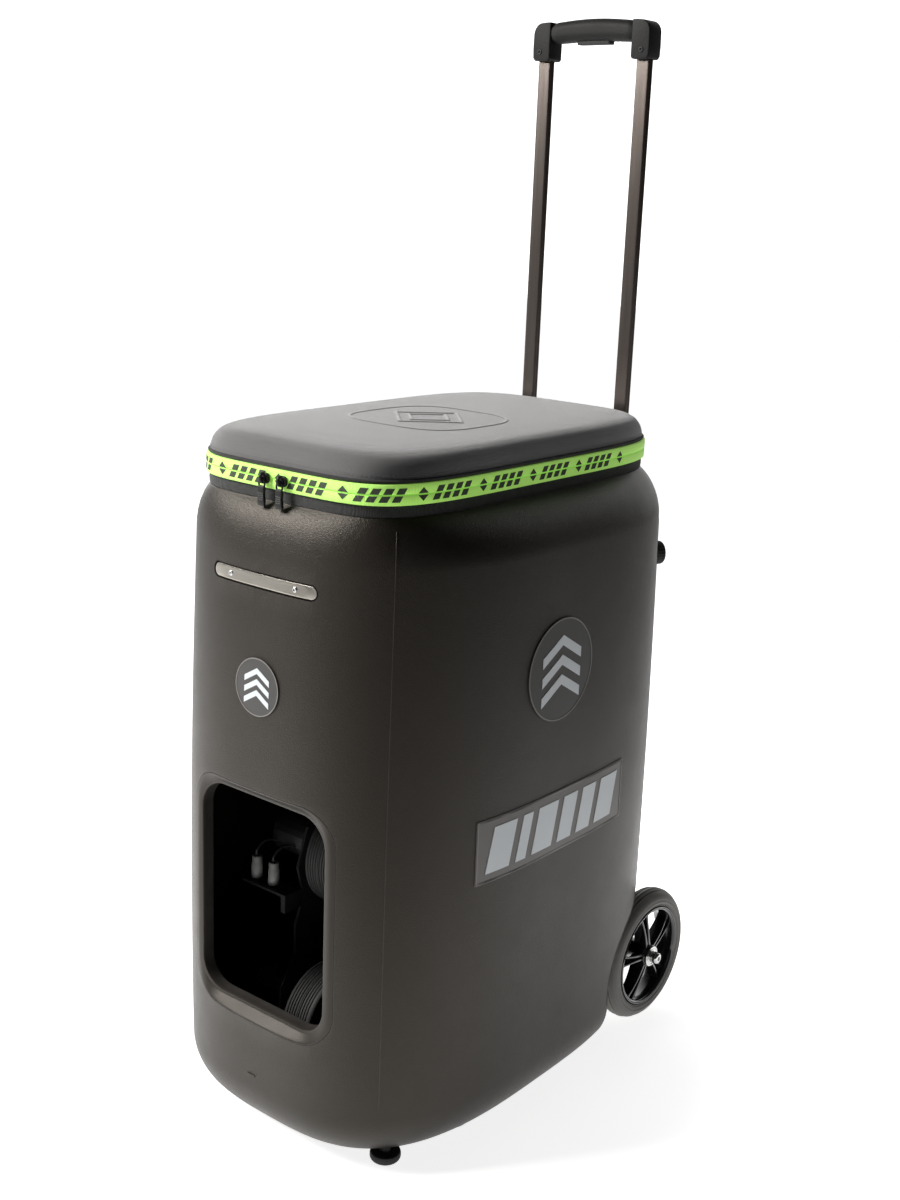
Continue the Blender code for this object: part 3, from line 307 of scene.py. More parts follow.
# ------------------------------------------------------------------ materials
def mat(name, rgb, rough, metal=0.0, bumps=(), var=0.12, var_scale=9.0, rough_var=0.06, coat=0.0, coat_rough=0.1, sheen=0.0, tint=None, glow=0.0,
        wear=0.0, wear_rgb=None, stretch=None, aniso=0.0, spec=0.5, dust=0.0):
    """bumps: (kind, scale, distance) with kind noise, cells, ribs_x, ribs_y, ribs_z or weave."""
    m = bpy.data.materials.new(name)
    m.use_nodes = True
    t = m.node_tree
    N_, L = t.nodes, t.links
    b = N_["Principled BSDF"]
    b.inputs["Metallic"].default_value = metal
    b.inputs["Specular IOR Level"].default_value = spec
    # glow gives the surface colour off as light: a painted glow, for parts that are no lamp
    if glow:
        b.inputs["Emission Color"].default_value = (*rgb, 1)
        b.inputs["Emission Strength"].default_value = glow
    if tint:
        b.inputs["Specular Tint"].default_value = (*tint, 1)
    b.inputs["Coat Weight"].default_value = coat
    b.inputs["Coat Roughness"].default_value = coat_rough
    b.inputs["Sheen Weight"].default_value = sheen
    b.inputs["Sheen Roughness"].default_value = 0.5
    b.inputs["Anisotropic"].default_value = aniso
    m.diffuse_color = (*rgb, 1)
    co = N_.new("ShaderNodeTexCoord").outputs["Object"]
    if stretch:
        mp = N_.new("ShaderNodeMapping")
        mp.inputs["Scale"].default_value = stretch
        L.new(co, mp.inputs["Vector"])
        co = mp.outputs["Vector"]

    def noise(scale, detail=3.0, rough_=0.55):
        n = N_.new("ShaderNodeTexNoise")
        n.inputs["Scale"].default_value = scale
        n.inputs["Detail"].default_value = detail
        n.inputs["Roughness"].default_value = rough_
        L.new(co, n.inputs["Vector"])
        return n.outputs["Fac"]

    def ramp(src, p0, p1, c0, c1):
        r = N_.new("ShaderNodeValToRGB")
        r.color_ramp.elements[0].position, r.color_ramp.elements[1].position = p0, p1
        r.color_ramp.elements[0].color, r.color_ramp.elements[1].color = (*c0, 1), (*c1, 1)
        L.new(src, r.inputs["Fac"])
        return r.outputs["Color"]

    def mix(fac, a, c):
        n = N_.new("ShaderNodeMix")
        n.data_type = "RGBA"
        L.new(fac, n.inputs[0])
        for sock, v in ((n.inputs[6], a), (n.inputs[7], c)):
            if isinstance(v, tuple):
                sock.default_value = (*v, 1)
            else:
                L.new(v, sock)
        return n.outputs[2]

    broad = noise(var_scale, 4.0)
    col = ramp(broad, 0.3, 0.7, tuple(c * (1 - var) for c in rgb), tuple(min(1, c * (1 + var)) for c in rgb))
    if wear:
        g = N_.new("ShaderNodeNewGeometry")
        edge = ramp(g.outputs["Pointiness"], 0.515, 0.56, (0, 0, 0), (1, 1, 1))
        n2 = noise(60.0, 5.0)
        mth = N_.new("ShaderNodeMath")
        mth.operation = "MULTIPLY"
        L.new(edge, mth.inputs[0])
        L.new(n2, mth.inputs[1])
        m2 = N_.new("ShaderNodeMath")
        m2.operation = "MULTIPLY"
        L.new(mth.outputs[0], m2.inputs[0])
        m2.inputs[1].default_value = wear * 1.6
        col = mix(m2.outputs[0], col, wear_rgb or tuple(min(1, c * 2.5 + 0.03) for c in rgb))
    if dust:
        d = ramp(noise(26.0, 8.0, 0.7), 0.56, 0.74, (0, 0, 0), (dust, dust, dust))
        col = mix(d, col, tuple(min(1, c * 1.8 + 0.02) for c in rgb))
    L.new(col, b.inputs["Base Color"])
    rr = N_.new("ShaderNodeMapRange")
    rr.inputs["To Min"].default_value, rr.inputs["To Max"].default_value = max(0.02, rough - rough_var), min(1, rough + rough_var)
    L.new(noise(35.0, 5.0), rr.inputs["Value"])
    L.new(rr.outputs["Result"], b.inputs["Roughness"])
    last = None
    for kind, scale, dist in bumps:
        if kind == "noise":
            src = noise(scale, 2.0)
        elif kind == "cells":
            v = N_.new("ShaderNodeTexVoronoi")
            v.feature = "SMOOTH_F1"
            v.inputs["Scale"].default_value = scale
            L.new(co, v.inputs["Vector"])
            src = v.outputs["Distance"]
        elif kind.startswith("ribs"):
            w = N_.new("ShaderNodeTexWave")
            w.bands_direction = kind[-1].upper()
            w.inputs["Scale"].default_value = scale
            w.inputs["Distortion"].default_value = 0.6
            w.inputs["Detail Scale"].default_value = 3.0
            L.new(co, w.inputs["Vector"])
            src = w.outputs["Fac"]
        else:
            parts = []
            for d in "XYZ":
                w = N_.new("ShaderNodeTexWave")
                w.bands_direction = d
                w.inputs["Scale"].default_value = scale
                w.inputs["Distortion"].default_value = 0.8
                w.inputs["Detail Scale"].default_value = 4.0
                L.new(co, w.inputs["Vector"])
                parts.append(w.outputs["Fac"])
            src = parts[0]
            for p in parts[1:]:
                n = N_.new("ShaderNodeMath")
                n.operation = "ADD"
                L.new(src, n.inputs[0])
                L.new(p, n.inputs[1])
                src = n.outputs[0]
        bp = N_.new("ShaderNodeBump")
        bp.inputs["Strength"].default_value = 1.0
        bp.inputs["Distance"].default_value = dist
        L.new(src, bp.inputs["Height"])
        if last:
            L.new(last, bp.inputs["Normal"])
        last = bp.outputs["Normal"]
    if last:
        L.new(last, b.inputs["Normal"])
    return m


M = {
    "casing": mat("casing", (0.0100, 0.0086, 0.0072), 0.43, bumps=(("cells", 1400, 0.00024), ("noise", 1100, 0.00016)), var=0.10, var_scale=5,
                  rough_var=0.05, wear=0.25, dust=0.05, tint=(1.0, 0.90, 0.78), spec=0.33),
    "trim": mat("trim", (0.013, 0.0115, 0.010), 0.50, bumps=(("cells", 800, 0.00008),), var=0.10, wear=0.35, tint=(1.0, 0.92, 0.82), spec=0.34),
    "lid_fabric": mat("lid_fabric", (0.048, 0.046, 0.046), 0.60, bumps=(("weave", 420, 0.00010), ("noise", 900, 0.00010)), var=0.10, sheen=0.5, var_scale=14),
    # lid emblem lines: lighter grey than the lid fabric, a painted highlight where the raised lines catch light
    "lid_mark_painted_highlight": mat("lid_mark_painted_highlight", (0.105, 0.102, 0.100), 0.5, bumps=(("weave", 420, 0.00008),), var=0.08, sheen=0.5),
    "band_fabric": mat("band_fabric", (0.007, 0.007, 0.007), 0.85, bumps=(("weave", 300, 0.00018),), sheen=0.15),
    # the lime tape's glow 0.22 is painted light, keeping the tape bright where the lamps leave it dim
    "zip_tape": mat("zip_tape", (0.50, 0.95, 0.16), 0.55, bumps=(("weave", 330, 0.00016),), var=0.05, sheen=0.2, glow=0.22),
    "print": mat("print", (0.020, 0.035, 0.012), 0.6, bumps=(("weave", 330, 0.00012),), var=0.2, var_scale=200),
    "black_plastic": mat("black_plastic", (0.005, 0.0048, 0.0045), 0.48, bumps=(("noise", 900, 0.00006),), wear=0.15, spec=0.3),
    "grip": mat("grip", (0.006, 0.0058, 0.0055), 0.62, bumps=(("cells", 700, 0.00012),), wear=0.2, spec=0.2),
    "inner_plastic": mat("inner_plastic", (0.008, 0.0078, 0.0075), 0.55, bumps=(("noise", 500, 0.0001),)),
    "brushed_metal": mat("brushed_metal", (0.34, 0.32, 0.285), 0.40, 1.0, bumps=(("noise", 90, 0.00003),), var=0.10, stretch=(0.25, 8, 12), rough_var=0.12, aniso=0.5),
    "pole_metal": mat("pole_metal", (0.175, 0.150, 0.135), 0.30, 1.0, bumps=(("noise", 60, 0.00002),), var=0.10, stretch=(8, 8, 0.2), rough_var=0.08, aniso=0.4),
    "steel": mat("steel", (0.55, 0.56, 0.57), 0.28, 1.0, bumps=(("noise", 300, 0.00002),), var=0.1, rough_var=0.1),
    "dark_steel": mat("dark_steel", (0.006, 0.006, 0.0065), 0.55, 0.0, bumps=(("cells", 900, 0.00006),), wear=0.2, wear_rgb=(0.05, 0.05, 0.05), spec=0.3),
    "badge": mat("badge", (0.028, 0.026, 0.024), 0.36, bumps=(("noise", 500, 0.00003),), var=0.08),
    "plate": mat("plate", (0.085, 0.078, 0.072), 0.42, bumps=(("noise", 500, 0.00004),), var=0.06),
    "mark": mat("mark", (0.52, 0.55, 0.57), 0.5, bumps=(("noise", 600, 0.00004),), var=0.04),
    "rim_line": mat("rim_line", (0.16, 0.15, 0.14), 0.4, bumps=(("noise", 600, 0.00003),), var=0.05),
    "tyre": mat("tyre", (0.125, 0.118, 0.108), 0.60, bumps=(("noise", 700, 0.00012),), var=0.18, dust=0.35, wear=0.3),
    "rim": mat("rim", (0.006, 0.0058, 0.0055), 0.16, bumps=(("noise", 120, 0.00003),), coat=0.6, coat_rough=0.08, wear=0.2),
    "chrome": mat("chrome", (0.56, 0.56, 0.55), 0.16, 1.0, bumps=(("noise", 200, 0.00001),), var=0.04, rough_var=0.05),
    "rubber": mat("rubber", (0.010, 0.010, 0.010), 0.75, bumps=(("noise", 900, 0.00010),), var=0.2),
    "throw_foam": mat("throw_foam", (0.012, 0.0115, 0.011), 0.7, bumps=(("cells", 500, 0.00020),), var=0.15, dust=0.3),
    "motor": mat("motor", (0.30, 0.30, 0.31), 0.36, 1.0, bumps=(("noise", 300, 0.00003),), var=0.12),
    "connector": mat("connector", (0.30, 0.30, 0.29), 0.5, bumps=(("noise", 700, 0.00004),)),
    "battery": mat("battery", (0.020, 0.034, 0.075), 0.4, bumps=(("noise", 400, 0.00004),), wear=0.2),
    "switch": mat("switch", (0.010, 0.010, 0.010), 0.25, bumps=(("noise", 500, 0.00002),), coat=0.3),
    "wire": mat("wire", (0.020, 0.019, 0.018), 0.45, bumps=(("noise", 800, 0.00004),)),
    "lamp": mat("lamp", (0.05, 0.35, 0.06), 0.25, bumps=(("noise", 800, 0.00002),), coat=0.5),
}

for part in RECORD["subparts"]:
    node = NODES.get(part["node"])
    if node is not None:
        node.data.materials.clear()
        node.data.materials.append(M[part["material_slot"]])
        for p in node.data.polygons:
            p.use_smooth = True
        node.data.set_sharp_from_angle(angle=math.radians(32))


# ------------------------------------------------------------------ casing
def casing_rings(off, count=R, foot=14, mids=22, tops=22):
    rings = []
    z0, z1 = Z_BASE + off, Z_BASE + FOOT_UP
    for i in range(foot + 1):
        u = math.pi / 2 * i / foot
        z = z0 + (z1 - z0) * (1 - math.cos(u))
        ins = FOOT_IN * (1 - math.sin(u)) + off
        rings.append(plan(a_of(z) - ins, b_of(z) - ins, N, YC, z, count))
    for z in np.linspace(z1, Z_SHOULDER, mids + 1)[1:]:
        rings.append(plan(a_of(z) - off, b_of(z) - off, N, YC, z, count))
    top = math.asin(0.864)
    for i in range(1, tops + 1):
        u = top * i / tops
        z = Z_SHOULDER + SHOULDER_UP * math.sin(u) - off * (1 - math.cos(u)) * 2
        g = (1 - math.cos(u)) / (1 - math.cos(top))
        zz = min(z, Z_SHOULDER + 0.01)
        base = plan(a_of(zz) - off, b_of(zz) - off, N, YC, z, count)
        lid = plan(WA - off, WB - off, LID_N, LID_Y, z, count)
        rings.append(base * (1 - g) + lid * g)
    return rings


WIN_CZ, WIN_HH = (WIN_Z0 + WIN_Z1) / 2, (WIN_Z1 - WIN_Z0) / 2


def win(inset, n=14):
    pts = [(x, z + WIN_CZ) for x, z in rrect(WIN_W - inset, WIN_HH - inset, WIN_R - inset * 0.75, n)]
    out = []
    for a, b in zip(pts, pts[1:] + pts[:1]):
        a, b = np.array(a), np.array(b)
        k = 12 if np.linalg.norm(b - a) > 0.05 else 1
        out += [a + (b - a) * i / k for i in range(k)]
    return out


def layer(name, outline, s, low, high, material=None, sharp=35):
    """A plate that follows the casing's skin, from low to high above it. outline in x, z on the front (s 0) or y, z on a side."""
    outline = np.array(outline)
    c = outline.mean(0)
    rings = []
    def surf(p, t):
        if s == 0:
            return (p[0], float(front_y(p[0], p[1])) - t, p[1])
        return (s * (float(side_x(p[0], p[1])) + t), p[0], p[1])
    fs = (0.02, 0.2, 0.4, 0.6, 0.8, 1.0)
    for f in fs:
        rings.append([surf(c + (p - c) * f, low) for p in outline])
    for f in fs[::-1]:
        rings.append([surf(c + (p - c) * f, high) for p in outline])
    return loft(name, rings, material, sharp=sharp)


def strip_layer(name, quads, s, low, high, material):
    """Flat shapes given as four corners (in order), each divided so that it follows the skin."""
    obs = []
    for q in quads:
        q = np.array(q, float)
        nu = max(2, int(np.linalg.norm(q[1] - q[0]) / 0.004))
        nv = max(2, int(np.linalg.norm(q[3] - q[0]) / 0.004))
        def at(u, v, t):
            p = (q[0] * (1 - u) + q[1] * u) * (1 - v) + (q[3] * (1 - u) + q[2] * u) * v
            if s == 0:
                return (p[0], float(front_y(p[0], p[1])) - t, p[1])
            return (s * (float(side_x(p[0], p[1])) + t), p[0], p[1])
        edge = [(i / nu, 0) for i in range(nu)] + [(1, j / nv) for j in range(nv)] + [(1 - i / nu, 1) for i in range(nu)] + [(0, 1 - j / nv) for j in range(nv)]
        rings = []
        for f in (0.02, 0.34, 0.67, 1.0):
            rings.append([at(0.5 + (u - 0.5) * f, 0.5 + (v - 0.5) * f, low) for u, v in edge])
        for f in (1.0, 0.67, 0.34, 0.02):
            rings.append([at(0.5 + (u - 0.5) * f, 0.5 + (v - 0.5) * f, high) for u, v in edge])
        obs.append(loft("q", rings, material))
    return joined(name, obs)


rings = casing_rings(0)
for i, z in ((0.0004, Z_LAND), (0.0100, Z_LAND)):
    rings.append(plan(WA - i, WB - i, LID_N, LID_Y, z))
shell = loft("casing_shell", rings)
inner = casing_rings(WALL, 120, 6, 6, 8)
inner.append(plan(WA - 0.0100, WB - 0.0100, LID_N, LID_Y, Z_LAND - WALL, 120))
inner.append(plan(WA - 0.0100, WB - 0.0100, LID_N, LID_Y, Z_LAND + 0.03, 120))
cavity = loft("cavity", inner)


def cyl(name, p0, p1, r, steps=64):
    d = Vector(p1) - Vector(p0)
    return turned(name, [(0, 0), (r, 0), (r, d.length), (0, d.length)], p0, d, None, steps)




def arch(grow, n=72, low=-0.05):
    pts = []
    for i in range(n + 1):
        t = math.radians(-8 + 196 * i / n)
        c, v = math.cos(t), math.sin(t)
        pts.append((WHEEL_Y + (ARCH_A + grow) * math.copysign(abs(c) ** (2 / ARCH_N), c), WHEEL_R + (ARCH_B + grow) * math.copysign(abs(v) ** (2 / ARCH_N), v)))
    return pts + [(pts[-1][0], low), (pts[0][0], low)]


boolean(cavity, joined("liners", [prism("l", arch(WALL), "x", *sorted((s * (ARCH_X - WALL), s * 0.22))) for s in (-1, 1)]))
boolean(shell, cavity)
cuts = [prism("arch", arch(0), "x", *sorted((s * ARCH_X, s * 0.22))) for s in (-1, 1)]
cuts.append(prism("w", [tuple(p) for p in win(-0.0002)], "y", -0.30 + SH, -0.17 + SH))
slot_out = [(x, z + 0.5434) for x, z in rrect(0.0626, 0.0072, 0.0071, 10)]
slot_out = [tuple(p) for p in dense(slot_out, 0.006)]
cuts.append(layer("slot", slot_out, 0, -0.0026, 0.006))
for s in (-1, 1):
    x = s * POLE_X
    cuts.append(prism("g", [(x + p, POLE_Y + q) for p, q in rrect(0.0098, 0.0062, 0.0018, 4)], "z", 0.55, 0.65))
    lo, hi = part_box("foot_right" if s > 0 else "foot_left")
    cuts.append(cyl("f", ((lo.x + hi.x) / 2, (lo.y + hi.y) / 2, 0), ((lo.x + hi.x) / 2, (lo.y + hi.y) / 2, 0.04), 0.0054, 24))
plo, phi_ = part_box("control_panel")
cuts.append(prism("p", [(x + (plo.x + phi_.x) / 2, z + (plo.z + phi_.z) / 2) for x, z in
                        rrect((phi_.x - plo.x) / 2 + 0.0004, (phi_.z - plo.z) / 2 + 0.0004, 0.0010, 3)], "y", 0.19 + SH, 0.27 + SH))
kz, kx = 0.5130, 0.1000
ky = float(front_y(kx, kz, 1))
KP = Vector((kx, ky, kz))
KN = Vector(((kx / a_of(kz)) ** (N - 1) / a_of(kz), ((ky - YC) / b_of(kz)) ** (N - 1) / b_of(kz), 0)).normalized()
cuts.append(cyl("k", KP - KN * 0.0016, KP + KN * 0.02, 0.0181, 48))
boolean(shell, joined("cuts", cuts))
boolean(shell, joined("cuts2", [cyl("a", (s * 0.09, WHEEL_Y, WHEEL_R), (s * 0.12, WHEEL_Y, WHEEL_R), 0.0054, 24) for s in (-1, 1)]
                      + [cyl("b", KP - KN * 0.02, KP + KN * 0.01, 0.0124, 32)]))
finish_mesh(shell, M["casing"], 32)
put(shell, "casing", "casing", "body_shell")

# rolled lips along the wheel arches
for s, side in ((-1, "left"), (1, "right")):
    rings = []
    for t in np.linspace(84, 186, 90):
        t = math.radians(t)
        c, v = math.cos(t), math.sin(t)
        def edge(grow, drop):
            y = WHEEL_Y + (ARCH_A + grow) * math.copysign(abs(c) ** (2 / ARCH_N), c)
            z = WHEEL_R + (ARCH_B + grow) * math.copysign(abs(v) ** (2 / ARCH_N), v)
            z = max(z, 0.013)
            ins = 0.0
            if z < Z_BASE + FOOT_UP:
                u = math.acos(max(-1.0, min(1.0, 1 - (z - Z_BASE) / (FOOT_UP))))
                ins = FOOT_IN * (1 - math.sin(u))
            x = (a_of(z) - ins) * (1 - min(abs(y - YC) / (b_of(z) - ins), 0.999) ** N) ** (1 / N)
            return (s * (x - drop), y, z)
        if abs(edge(0.002, 0)[0]) < ARCH_X + 0.003:
            continue
        rings.append([edge(0.0012, 0.0012), edge(0.0012, -0.0001), edge(0.0006, -0.0004), edge(-0.0002, -0.0002), edge(-0.0040, 0.0030), edge(-0.0046, 0.0040), edge(-0.0044, 0.0052),
                      edge(-0.0030, 0.0052), edge(0.0012, 0.0040)])
    put(loft("wheel_arch_lip_" + side, rings, M["casing"], sharp=60), "casing", "casing")

# parting lines of the moulding, and the small recessed mark low on the front
for k, (sx, sy) in enumerate(((1, -1), (-1, -1), (1, 1), (-1, 1))):
    path = []
    zs = np.linspace(0.075, 0.600, 60) if sy < 0 else np.linspace(WHEEL_R + ARCH_B + 0.005, 0.560, 50)
    for z in zs:
        zz = min(z, Z_SHOULDER)
        p = math.atan2(sy * 1.0, sx * 0.60) if sy < 0 else math.atan2(1.0, sx * 0.72)
        base = plan(a_of(zz), b_of(zz), N, YC, z, p=np.array([p]))[0]
        if z > Z_SHOULDER:
            u = math.asin(min(1, (z - Z_SHOULDER) / SHOULDER_UP))
            g = (1 - math.cos(u)) / (1 - math.cos(math.asin(0.864)))
            base = base * (1 - g) + plan(WA, WB, LID_N, LID_Y, z, p=np.array([p]))[0] * g
        path.append(base)
    nrm = Vector((sx * 0.5, sy * 1.0, 0)).normalized()
    put(tube("casing_parting_line_%d" % k, path, 0.0006, M["casing"], n=8, squash=0.55, normal=lambda i, v=nrm: v), "casing", "casing")
lowmark = strip_layer("casing_drain_tab", [[(-0.009, 0.0705), (0.001, 0.0705), (0.001, 0.0720), (-0.009, 0.0720)]], 0, -0.0005, 0.0006, M["casing"])
put(lowmark, "casing", "casing")

# window frame: outer roll, bevel, lip and tunnel
y_in = float(front_y(0, WIN_CZ)) + WIN_DEPTH


def wring(inset, depth):
    """depth 0 is the skin, 1 the inner edge of the bevel; above 1 the excess is in metres behind it."""
    out = []
    for x, z in win(inset):
        ys = float(front_y(x, z))
        out.append((x, ys + (y_in - ys) * min(depth, 1) + max(0, depth - 1), z))
    return out


tr = [wring(0.0001, -0.010), wring(0.0004, -0.030), wring(0.0010, 0.0), wring(0.0020, 0.10)]
for f in (0.3, 0.5, 0.7, 0.9):
    tr.append(wring(0.0020 + (WIN_BEVEL * 0.74 - 0.0020) * (f - 0.10) / 0.84, f))
tr += [wring(WIN_BEVEL * 0.76, 0.97), wring(WIN_BEVEL * 0.82, 1.0), wring(WIN_BEVEL * 0.90, 1.0), wring(WIN_BEVEL * 0.97, 1.0004),
       wring(WIN_BEVEL, 1.0012), wring(WIN_BEVEL + 0.0006, 1.0040), wring(WIN_BEVEL + 0.0006, 1.0120), wring(WIN_BEVEL * 0.70, 1.0120),
       wring(0.0002, 1.0045)]
put(loft("window_frame", tr, M["trim"], closed=True, sharp=40), "casing", "trim", "window_trim")

# aluminium strip and its screws
sl, sh_, _ = 0.0610, 0.0056, 0
strip_o = [tuple(p) for p in dense([(x, z + 0.5434) for x, z in rrect(sl, sh_, sh_ - 0.0002, 12)], 0.005)]
st = layer("front_strip_metal", strip_o, 0, -0.0022, -0.0003, M["brushed_metal"])
bevelled(st, 0.0004, 2, 50)
finish_mesh(st, M["brushed_metal"], 40)
put(st, "casing", "brushed_metal", "front_strip")
for s, side in ((-1, "left"), (1, "right")):
    x = s * 0.0385
    y0 = float(front_y(x, 0.5434))
    put(screw("strip_screw_head_" + side, (x, y0 + 0.0004, 0.5434), (0, -1, 0), 0.0024, 0.0009, M["steel"]), "casing", "steel", "strip_screw_" + side)


# ------------------------------------------------------------------ badges and plates, with plain generic graphics
def circ(cx, cy, r, n=72):
    return [(cx + r * math.cos(2 * math.pi * i / n), cy + r * math.sin(2 * math.pi * i / n)) for i in range(n)]


def ring_layer(name, cx, cy, r0, r1, s, low, high, material, n=96):
    rings = []
    def at(r, a, t):
        p = (cx + r * math.cos(a), cy + r * math.sin(a))
        if s == 0:
            return (p[0], float(front_y(p[0], p[1])) - t, p[1])
        return (s * (float(side_x(p[0], p[1])) + t), p[0], p[1])
    for r, t in ((r0, low), (r1, low), (r1, high), (r0, high)):
        rings.append([at(r, 2 * math.pi * i / n, t) for i in range(n)])
    return loft(name, rings, material, closed=True)


def chevrons(cx, cy, w, h, t, gap, flip=1):
    """Three chevrons that point up, as pairs of slanted bars."""
    out = []
    for k in (-1, 0, 1):
        y0 = cy + k * gap
        out.append([(cx - w, y0 - h), (cx, y0 + h), (cx, y0 + h + t), (cx - w, y0 - h + t)])
        out.append([(cx + w, y0 - h), (cx, y0 + h), (cx, y0 + h + t), (cx + w, y0 - h + t)])
    return out


fb = layer("front_badge_disc", circ(0, 0.4500, 0.0262), 0, 0.0000, 0.0009, M["badge"])
put(fb, "casing", "badge", "front_badge")
put(ring_layer("front_badge_edge", 0, 0.4500, 0.0250, 0.0259, 0, 0.0005, 0.0012, M["rim_line"]), "casing", "badge")
put(strip_layer("front_badge_graphic", chevrons(0, 0.4478, 0.0150, 0.0045, 0.0052, 0.0098), 0, 0.0006, 0.0012, M["mark"]), "casing", "badge")
SB_Y, SB_Z, SB_R = -0.0250 + SH, 0.4553, 0.0486
for s, side in ((-1, "left"), (1, "right")):
    put(layer("side_badge_disc_" + side, circ(SB_Y, SB_Z, SB_R, 96), s, 0.0, 0.0009, M["badge"]), "casing", "badge", "side_badge_" + side)
    put(ring_layer("side_badge_edge_" + side, SB_Y, SB_Z, SB_R - 0.0017, SB_R - 0.0006, s, 0.0005, 0.0012, M["rim_line"]), "casing", "badge")
    put(strip_layer("side_badge_graphic_" + side, chevrons(SB_Y, SB_Z - 0.004, 0.0290, 0.0085, 0.0095, 0.0185), s, 0.0006, 0.0013, M["mark"]), "casing", "badge")
    cy, cz, hw, hh = -0.0180 + SH, 0.3058, 0.1130, 0.0306
    outline = [tuple(p) for p in dense([(x + cy, z + cz) for x, z in rrect(hw, hh, 0.0015, 3)], 0.008)]
    put(layer("side_plate_panel_" + side, outline, s, 0.0, 0.0007, M["plate"]), "casing", "badge", "side_plate_" + side)
    e = 0.0010
    lines = [[(cy - hw + .001, cz + hh - .001 - e), (cy + hw - .001, cz + hh - .001 - e), (cy + hw - .001, cz + hh - .001), (cy - hw + .001, cz + hh - .001)],
             [(cy - hw + .001, cz - hh + .001), (cy + hw - .001, cz - hh + .001), (cy + hw - .001, cz - hh + .001 + e), (cy - hw + .001, cz - hh + .001 + e)],
             [(cy - hw + .001, cz - hh + .0025), (cy - hw + .001 + e, cz - hh + .0025), (cy - hw + .001 + e, cz + hh - .0025), (cy - hw + .001, cz + hh - .0025)],
             [(cy + hw - .001 - e, cz - hh + .0025), (cy + hw - .001, cz - hh + .0025), (cy + hw - .001, cz + hh - .0025), (cy + hw - .001 - e, cz + hh - .0025)]]
    put(strip_layer("side_plate_edge_" + side, lines, s, 0.0004, 0.0010, M["rim_line"]), "casing", "badge")
    bars = []
    y0 = cy - 0.0965
    for w in (0.0300, 0.0140, 0.0300, 0.0220, 0.0220, 0.0300):
        sk = 0.0050
        bars.append([(y0 - sk, cz - 0.0215), (y0 + w - sk, cz - 0.0215), (y0 + w + sk, cz + 0.0215), (y0 + sk, cz + 0.0215)])
        y0 += w + 0.0090
    put(strip_layer("side_plate_graphic_" + side, bars, s, 0.0004, 0.0011, M["mark"]), "casing", "badge")


# ------------------------------------------------------------------ band, zip tapes, lid
P0 = np.sort(phi(360) % (2 * math.pi))
P0 = np.concatenate([np.linspace(math.pi / 2, 2 * math.pi + math.pi / 2, 520, endpoint=False)])


def belt(name, profile, material, part="all", x_cut=SKIRT_X + 0.0006, sharp=50):
    """A closed profile of (offset from the band's outline, z) carried round the lid. part: all, front (leaves out the rear) or rear."""
    p = P0
    ref = plan(WA, WB, LID_N, LID_Y, 0, p=p)
    rear = (ref[:, 1] > LID_Y) & (np.abs(ref[:, 0]) < x_cut)
    if part != "all":
        keep = rear if part == "rear" else ~rear
        idx = np.where(keep)[0]
        jump = np.where(np.diff(idx) > 1)[0]
        if len(jump):
            idx = np.concatenate([idx[jump[0] + 1:], idx[:jump[0] + 1]])
        p = p[idx]
    rings = []
    for off, z in profile:
        q = plan(WA + off, WB + off, LID_N, LID_Y, z, p=p)
        rings.append(q)
    return loft(name, rings, material, closed=True, open_u=(part != "all"), sharp=sharp)


zb0, zb1 = Z_LAND + GAP, Z_SEAM - GAP / 2
put(belt("zip_band", [(-0.003, zb0), (-0.0004, zb0), (0.0, zb0 + 0.0010), (0.0003, (zb0 + Z_STRIP0) / 2), (0.0, Z_STRIP0 - 0.0006), (0.0, zb1), (-0.003, zb1)],
         M["band_fabric"], "front"), "casing", "band_fabric", "lid_band")
put(belt("zip_tape_lower", [(0.0003, Z_STRIP0), (0.0018, Z_STRIP0), (0.0023, Z_STRIP0 + 0.0006), (0.0024, 0.6247), (0.0023, zb1 - 0.0006), (0.0019, zb1 - 0.0001), (0.0003, zb1)],
         M["zip_tape"], "front"), "casing", "zip_tape", "base_zip_tape")
zt0 = Z_SEAM + GAP / 2
put(belt("zip_tape_upper", [(0.0003, zt0), (0.0019, zt0 + 0.0001), (0.0023, zt0 + 0.0006), (0.0024, 0.6335), (0.0023, Z_STRIP1 - 0.0006), (0.0018, Z_STRIP1), (0.0003, Z_STRIP1)],
         M["zip_tape"], "front"), "lid", "zip_tape", "lid_zip_tape")

# dark printed pattern along both tapes: a lozenge and a run of slanted bars, over and over
front_run = belt("probe", [(0.0025, 0.6), (0.0025, 0.61)], None, "front")
bpy.data.objects.remove(front_run, do_unlink=True)
pf = np.linspace(-math.pi / 2 - 2.45, -math.pi / 2 + 2.45, 2600)
line = plan(WA + 0.00245, WB + 0.00245, LID_N, LID_Y, 0, p=pf)
seg = np.linalg.norm(np.diff(line[:, :2], axis=0), axis=1)
arc = np.concatenate([[0], np.cumsum(seg)])
arc -= arc[len(arc) // 2]


def on_tape(s, z, up=0.0):
    a = np.interp(s, arc, pf)
    k = 0.00008 + np.interp(z, [Z_STRIP0, Z_STRIP0 + 0.0006, 0.6247, zb1 - 0.0006, zb1 - 0.0001, zt0 + 0.0001, zt0 + 0.0006, 0.6335, Z_STRIP1 - 0.0006, Z_STRIP1],
                            [0.0018, 0.0023, 0.0024, 0.0023, 0.0019, 0.0019, 0.0023, 0.0024, 0.0023, 0.0018])
    return plan(WA + k + up, WB + k + up, LID_N, LID_Y, z, p=np.array([a]))[0]


